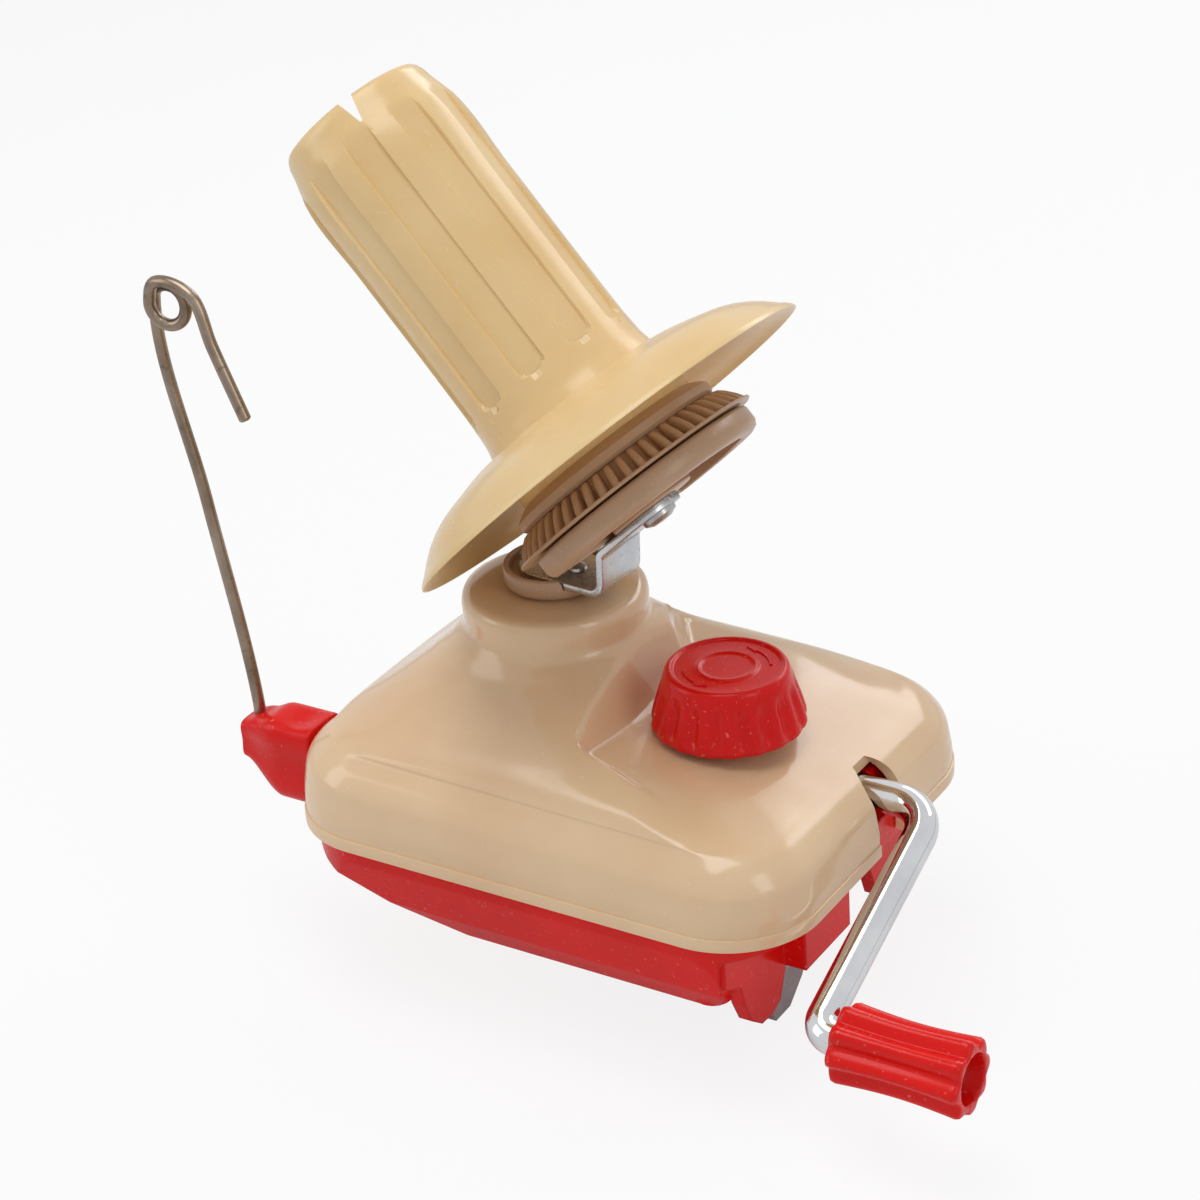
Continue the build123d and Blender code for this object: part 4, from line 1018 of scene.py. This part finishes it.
spigot_line = [(SPIGOT_R, 0.0), (SPIGOT_R, spigot_end - GRIP_X + SPIGOT_START)]
spigot = lathe("spigot", spigot_line, on_spigot(GRIP_X - SPIGOT_START), steps=48)
dress(join("chromed_rod", rod, spigot), "crank_rod", CHROME)

# %% [markdown]
# The handle is a turning with a hollow outer end. A cosine round its axis makes the lobes, and a
# slow sine along it makes the waist.

# %% Grip
GRIP_R = 9.5
GRIP_BORE = 2.55
GRIP_GAP = 0.3
GRIP_LENGTH = 32.0
GRIP_LOBES = 8
LOBE_PHASE = 0.2


def grip_wave(x, y, z):
    """Lobes and waist of the handle's outside."""
    radius = math.hypot(x, y)
    if radius < 6.2:
        return x, y, z
    angle = math.atan2(y, x)
    wave = 0.5 + 0.5 * math.cos(GRIP_LOBES * angle + LOBE_PHASE)
    valley = 1.9 * (1 - wave**0.8)
    waist = 0.9 * math.sin(math.pi * min(1.0, max(0.0, z / GRIP_LENGTH)))
    share = max(0.0, (radius - 6.0) / 3.5)
    new = radius - (valley + waist) * share
    return x * new / radius, y * new / radius, z


grip_profile = [(GRIP_BORE, 0.0), (6.0, 0.0), (8.3, 0.05), (9.1, 0.5), (GRIP_R, 1.6)]
grip_profile += [(GRIP_R, 2.5 + k * 1.8) for k in range(16)]
grip_profile += [(GRIP_R, 30.6), (9.1, 31.5), (8.3, 31.95), (7.0, GRIP_LENGTH), (6.1, 31.9), (5.9, 31.4),
                 (5.9, 25.2), (5.6, 25.0), (GRIP_BORE, 25.0)]
grip = lathe("lobed_grip", grip_profile, on_spigot(GRIP_X + GRIP_GAP), steps=192, loop=True,
             form=grip_wave, sharp=60)
dress(grip, "grip", RED)

# %% [markdown]
# The rivet that holds the handle is a domed steel head, and a thin washer lies under it.

# %% Rivet and washer
RIVET = [(2.9, 0.0), (3.2, 0.25), (3.1, 0.7), (2.5, 1.2), (1.4, 1.65), (0.7, 1.78)]
WASHER = [(2.52, 0.0), (4.3, 0.0), (4.4, 0.12), (4.4, 0.68), (4.3, 0.8), (2.52, 0.8)]
rivet_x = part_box("grip_rivet")[0].x / MM
dress(lathe("rivet_head", RIVET, on_spigot(rivet_x), steps=64, sharp=70), "grip_rivet", CHROME)
washer_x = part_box("grip_washer")[0].x / MM
washer = lathe("grip_washer_ring", WASHER, on_spigot(washer_x), steps=64, loop=True)
dress(washer, "grip_washer", CHROME)

# %% [markdown]
# ## The clamp knob
# A red moulding, wider at its foot, with shallow flutes that fade into a smooth band under the
# top. A round pad stands in the middle of the top, and two plain raised arrows lie round it to
# show which way tightens.

# %% Clamp knob
KNOB_FLUTES = 18
KNOB_PLACE = shift(SCREW_X, SCREW_Y, KNOB_Z)
KNOB_SIDE = [(17.9, 0.0), (18.3, 0.4), (18.4, 1.4), (18.05, 3.0), (16.9, 7.0), (15.6, 11.0), (14.9, 13.2),
             (14.5, 14.3), (14.0, 14.85), (13.4, 14.95)]


def knob_flutes(x, y, z):
    """Draws the side in at each flute, deepest at mid height."""
    radius = math.hypot(x, y)
    if radius < 14.6 or z > 12.4:
        return x, y, z
    wave = 0.5 - 0.5 * math.cos(KNOB_FLUTES * math.atan2(y, x))
    side = 1.15 * smooth_step(12.3, 8.0, z) * smooth_step(0.2, 3.2, z)
    foot = 0.35 * smooth_step(3.2, 0.4, z)
    new = radius - (side + foot) * wave**1.4
    return x * new / radius, y * new / radius, z


knob_profile = flow(KNOB_SIDE, 0.6)
knob_profile += [(12.9, 14.75), (12.7, 14.45), (12.3, 14.4), (8.0, 14.4), (7.5, 14.45), (7.2, 14.7),
                 (6.9, 14.85), (6.5, 14.8), (6.2, 14.6), (5.4, 14.55), (1.0, 14.6)]
knob_under = [(5.1, 0.3), (7.8, 0.3), (8.0, 11.0), (13.0, 11.0), (16.2, 0.4), (16.8, 0.0)]
knob = lathe("fluted_knob", knob_under + knob_profile, KNOB_PLACE, steps=288, form=knob_flutes, sharp=60)
print("knob side has", len(knob_profile), "rings")

# %% Arrows
ARROW_R = 10.2
ARROW_SPAN = 62.0
ARROW_STEPS = 34
ARROW_LOW = 14.35
ARROW_HIGH = 14.75


def curved_arrow(name, start):
    """Raised arc with an arrow head, lying on the knob's top."""
    rings = []
    for k in range(ARROW_STEPS + 1):
        share = k / ARROW_STEPS
        angle = math.radians(start + ARROW_SPAN * share)
        half = 0.42 if share < 0.72 else 1.25 * (1 - share) / 0.28 + 0.05
        top = half * 0.7
        ring = []
        for off, z in ((-half, ARROW_LOW), (-top, ARROW_HIGH), (top, ARROW_HIGH), (half, ARROW_LOW)):
            radius = ARROW_R + off
            ring.append((radius * math.cos(angle), radius * math.sin(angle), z))
        rings.append(ring)
    return skin(name, rings, KNOB_PLACE, sharp=50)


arrows = [curved_arrow("arrow_a", -150), curved_arrow("arrow_b", 30)]
dress(join("fluted_clamp_knob", knob, *arrows), "clamp_knob", RED)

# %% [markdown]
# ## The yarn guide
# A red block on a pivot holds a springy wire. The wire leans out, makes one closed turn for the
# yarn and ends in a straight tail. The line goes through a few points of the bend, set as a smooth
# curve, and a round section follows it.

# %% The eye's turn
HOLDER_X = -69.3
HOLDER_LENGTH = 22.5
WIRE_R = 1.5
WIRE_X = HOLDER_X - HOLDER_LENGTH + 2.9
WIRE_BASE = HOLDER_Z + 3.75
EYE_X = -99.9
EYE_Z = RIM_Z + 121.9
EYE_R = 4.65
TURN_PITCH = 3.45
EYE_STEP = 5.0
EYE_STEPS = 90


def eye_points():
    """The stem's arch, the closed turn and the arch down to the tail."""
    line = []
    for k in range(EYE_STEPS + 1):
        gone = EYE_STEP * k
        angle = math.radians(180 - gone)
        reach = EYE_R * (1.0 + 0.28 * smooth_step(90, 0, gone) + 0.5 * smooth_step(380, 450, gone))
        line.append(Vector((EYE_X + reach * math.cos(angle), GUIDE_Y - TURN_PITCH * gone / 360,
                            EYE_Z + reach * math.sin(angle))))
    return line


eye = eye_points()
print("the eye's turn drifts", round(GUIDE_Y - eye[-1].y, 2), "mm sideways")

# %% Guide wire
tail_y = eye[-1].y
stem = [Vector((WIRE_X, GUIDE_Y, WIRE_BASE)), Vector((WIRE_X, GUIDE_Y, WIRE_BASE + 8.0)),
        Vector((WIRE_X - 0.25, GUIDE_Y, WIRE_BASE + 10.5))]
wire_points = [tuple(p) for p in stem + [stem[-1].lerp(eye[0], 0.5)] + eye[::3]]
wire_points += [(EYE_X + 8.6, tail_y - 0.2, EYE_Z + 5.0), (EYE_X + 13.6, tail_y - 0.4, EYE_Z - 7.0),
                (EYE_X + 21.2, tail_y - 0.5, EYE_Z - 24.4)]
wire_line = [Vector(p) for p in flow(wire_points, 0.8)]
wire = round_bar("sprung_guide_wire", wire_line, WIRE_R, steps=24, end_round=0.4)
dress(wire, "guide_wire", WIRE)

# %% [markdown]
# The block is a lobed moulding: its rounded outline swells near the shell, sinks on top beside a
# dimple, and its outer end slopes in below the wire.

# %% Guide holder
HOLDER_HALF_Y = 7.5
HOLDER_HALF_Z = 10.9
HOLDER_SQUARE = 0.42
HOLDER_STEPS = 40
RING_STEPS = 64


def holder_ring(out):
    """One outline of the block at a share of its length."""
    nose = smooth_step(0.45, 1.0, out)
    top = HOLDER_HALF_Z - 1.9 * smooth_step(0.55, 0.8, out) - 1.2 * smooth_step(0.8, 1.0, out)
    bottom = -HOLDER_HALF_Z + 8.2 * nose
    half_y = HOLDER_HALF_Y - 2.2 * nose
    middle = (top + bottom) / 2
    half_z = (top - bottom) / 2
    ring = []
    for k in range(RING_STEPS):
        angle = 2 * math.pi * k / RING_STEPS
        c, s = math.cos(angle), math.sin(angle)
        y = half_y * math.copysign(abs(c) ** HOLDER_SQUARE, c)
        z = middle + half_z * math.copysign(abs(s) ** HOLDER_SQUARE, s)
        if s > 0:
            z -= 1.4 * math.exp(-((y + 1.5) / 3.5) ** 2) * math.exp(-((out - 0.25) / 0.16) ** 2)
        if c < 0:
            y += 1.1 * math.exp(-((z - middle) / 3.2) ** 2) * (1 - 0.5 * out)
        ring.append((HOLDER_X - HOLDER_LENGTH * out, GUIDE_Y + y, HOLDER_Z + z))
    return ring


holder_rings = [holder_ring(k / HOLDER_STEPS) for k in range(HOLDER_STEPS + 1)]
last = holder_rings[-1]
centre = Vector((HOLDER_X - HOLDER_LENGTH, GUIDE_Y, sum(p[2] for p in last) / len(last)))
for share in (0.90, 0.70):
    holder_rings.append([tuple(centre.lerp(Vector(p), share)) for p in last])
holder = ease(skin("guide_holder_block", holder_rings, sharp=50), 0.7, 50)
dress(holder, "guide_holder", RED)

# %% [markdown]
# ## Camera and light
# The camera stands where the photograph was taken from, above the front crank-side corner, with a
# long lens. Its three directions are written out, because they were fitted to the picture's lines.

# %% Camera
camera_data = bpy.data.cameras.new("camera")
camera_data.lens = 98.78
camera_data.sensor_width = 36.0
camera = bpy.data.objects.new("camera", camera_data)
bpy.context.scene.collection.objects.link(camera)
RIGHT = Vector((0.85404, 0.51713, -0.05618))
UP = Vector((-0.19660, 0.42088, 0.88554))
BACK = Vector((0.48159, -0.74526, 0.46113))
STAND = Vector((0.3707, -0.5820, 0.4325))
camera.matrix_world = Matrix((RIGHT, UP, BACK)).transposed().to_4x4()
camera.location = STAND
bpy.context.scene.camera = camera
print("camera stands", round(STAND.length, 3), "m away")

# %% [markdown]
# Four soft lamps light the object evenly: a wide one overhead, one on each side, and one behind
# that draws a light edge. Large lamps close by give soft shadows and long highlights.

# %% Lamps


def lamp(name, spot, aim, size, watts):
    data = bpy.data.lights.new(name, "AREA")
    data.shape = "RECTANGLE"
    data.size, data.size_y = size
    data.energy = watts
    light = bpy.data.objects.new(name, data)
    light.location = spot
    light.rotation_mode = "QUATERNION"
    light.rotation_quaternion = (Vector(aim) - Vector(spot)).to_track_quat("-Z", "Y")
    bpy.context.scene.collection.objects.link(light)
    print(name, watts, "W")


lamp("overhead", (-0.10, -0.15, 0.95), (0, 0, 0.08), (0.7, 0.5), 3.6)
lamp("left_window", (-0.75, -0.55, 0.45), (0, 0, 0.08), (0.35, 0.7), 1.3)
lamp("right_window", (0.85, -0.25, 0.55), (0, 0, 0.05), (0.3, 0.6), 1.2)
lamp("back_rim", (0.1, 0.8, 0.6), (0, 0, 0.1), (0.8, 0.3), 2.2)

# %% [markdown]
# The white behind comes from what the camera and the reflections see, so it adds no light to the
# object. All other rays see a dimmer, slightly cool room.

# %% World
ROOM_LIGHT = 0.42
world = bpy.data.worlds.new("studio")
bpy.context.scene.world = world
world.use_nodes = True
sky = world.node_tree
sky.nodes.clear()
path = sky.nodes.new("ShaderNodeLightPath")
seen = sky.nodes.new("ShaderNodeMath")
seen.operation = "MAXIMUM"
white = sky.nodes.new("ShaderNodeBackground")
white.inputs["Strength"].default_value = 1.0
room = sky.nodes.new("ShaderNodeBackground")
room.inputs["Color"].default_value = (0.95, 0.97, 1.0, 1.0)
room.inputs["Strength"].default_value = ROOM_LIGHT
choose = sky.nodes.new("ShaderNodeMixShader")
done = sky.nodes.new("ShaderNodeOutputWorld")
sky.links.new(path.outputs["Is Camera Ray"], seen.inputs[0])
sky.links.new(path.outputs["Is Transmission Ray"], seen.inputs[1])
mirrored = sky.nodes.new("ShaderNodeMath")
mirrored.operation = "MAXIMUM"
sky.links.new(seen.outputs[0], mirrored.inputs[0])
sky.links.new(path.outputs["Is Glossy Ray"], mirrored.inputs[1])
sky.links.new(mirrored.outputs[0], choose.inputs["Fac"])
sky.links.new(room.outputs[0], choose.inputs[1])
sky.links.new(white.outputs[0], choose.inputs[2])
sky.links.new(choose.outputs[0], done.inputs["Surface"])
print("world has", len(sky.nodes), "nodes")

# %% [markdown]
# The floor is nearly white. Seen by the camera it also glows a little, which lifts it to the white
# behind and leaves the object's shadow on it.

# %% Floor
FLOOR_HALF = 3000
FLOOR_GLOW = 0.85
floor_z = cad_box[0].z / MM - 0.3
floor_corners = [(x * FLOOR_HALF, y * FLOOR_HALF, floor_z) for x, y in ((-1, -1), (1, -1), (1, 1), (-1, 1))]
floor = new_piece("floor", floor_corners, [(0, 1, 2, 3)])
floor_finish = Finish("pale_floor", Roughness=0.9, Specular_IOR_Level=0.1)
grain = floor_finish.noise(300.0, 3.0)
floor_finish.feed(Base_Color=floor_finish.blend(grain, (0.86, 0.86, 0.86, 1), (0.9, 0.9, 0.9, 1)))
tree = floor_finish.tree
glow = tree.nodes.new("ShaderNodeEmission")
glow.inputs["Strength"].default_value = 1.0
eye_ray = tree.nodes.new("ShaderNodeLightPath")
share = tree.nodes.new("ShaderNodeMath")
share.operation = "MULTIPLY"
share.inputs[1].default_value = FLOOR_GLOW
mixed = tree.nodes.new("ShaderNodeMixShader")
tree.links.new(eye_ray.outputs["Is Camera Ray"], share.inputs[0])
tree.links.new(share.outputs[0], mixed.inputs["Fac"])
tree.links.new(floor_finish.shader.outputs[0], mixed.inputs[1])
tree.links.new(glow.outputs[0], mixed.inputs[2])
tree.links.new(mixed.outputs[0], tree.nodes["Material Output"].inputs["Surface"])
floor.data.materials.append(floor_finish.material)
bpy.context.scene.view_settings.view_transform = "Standard"
print("floor lies at", round(floor_z, 2), "mm")
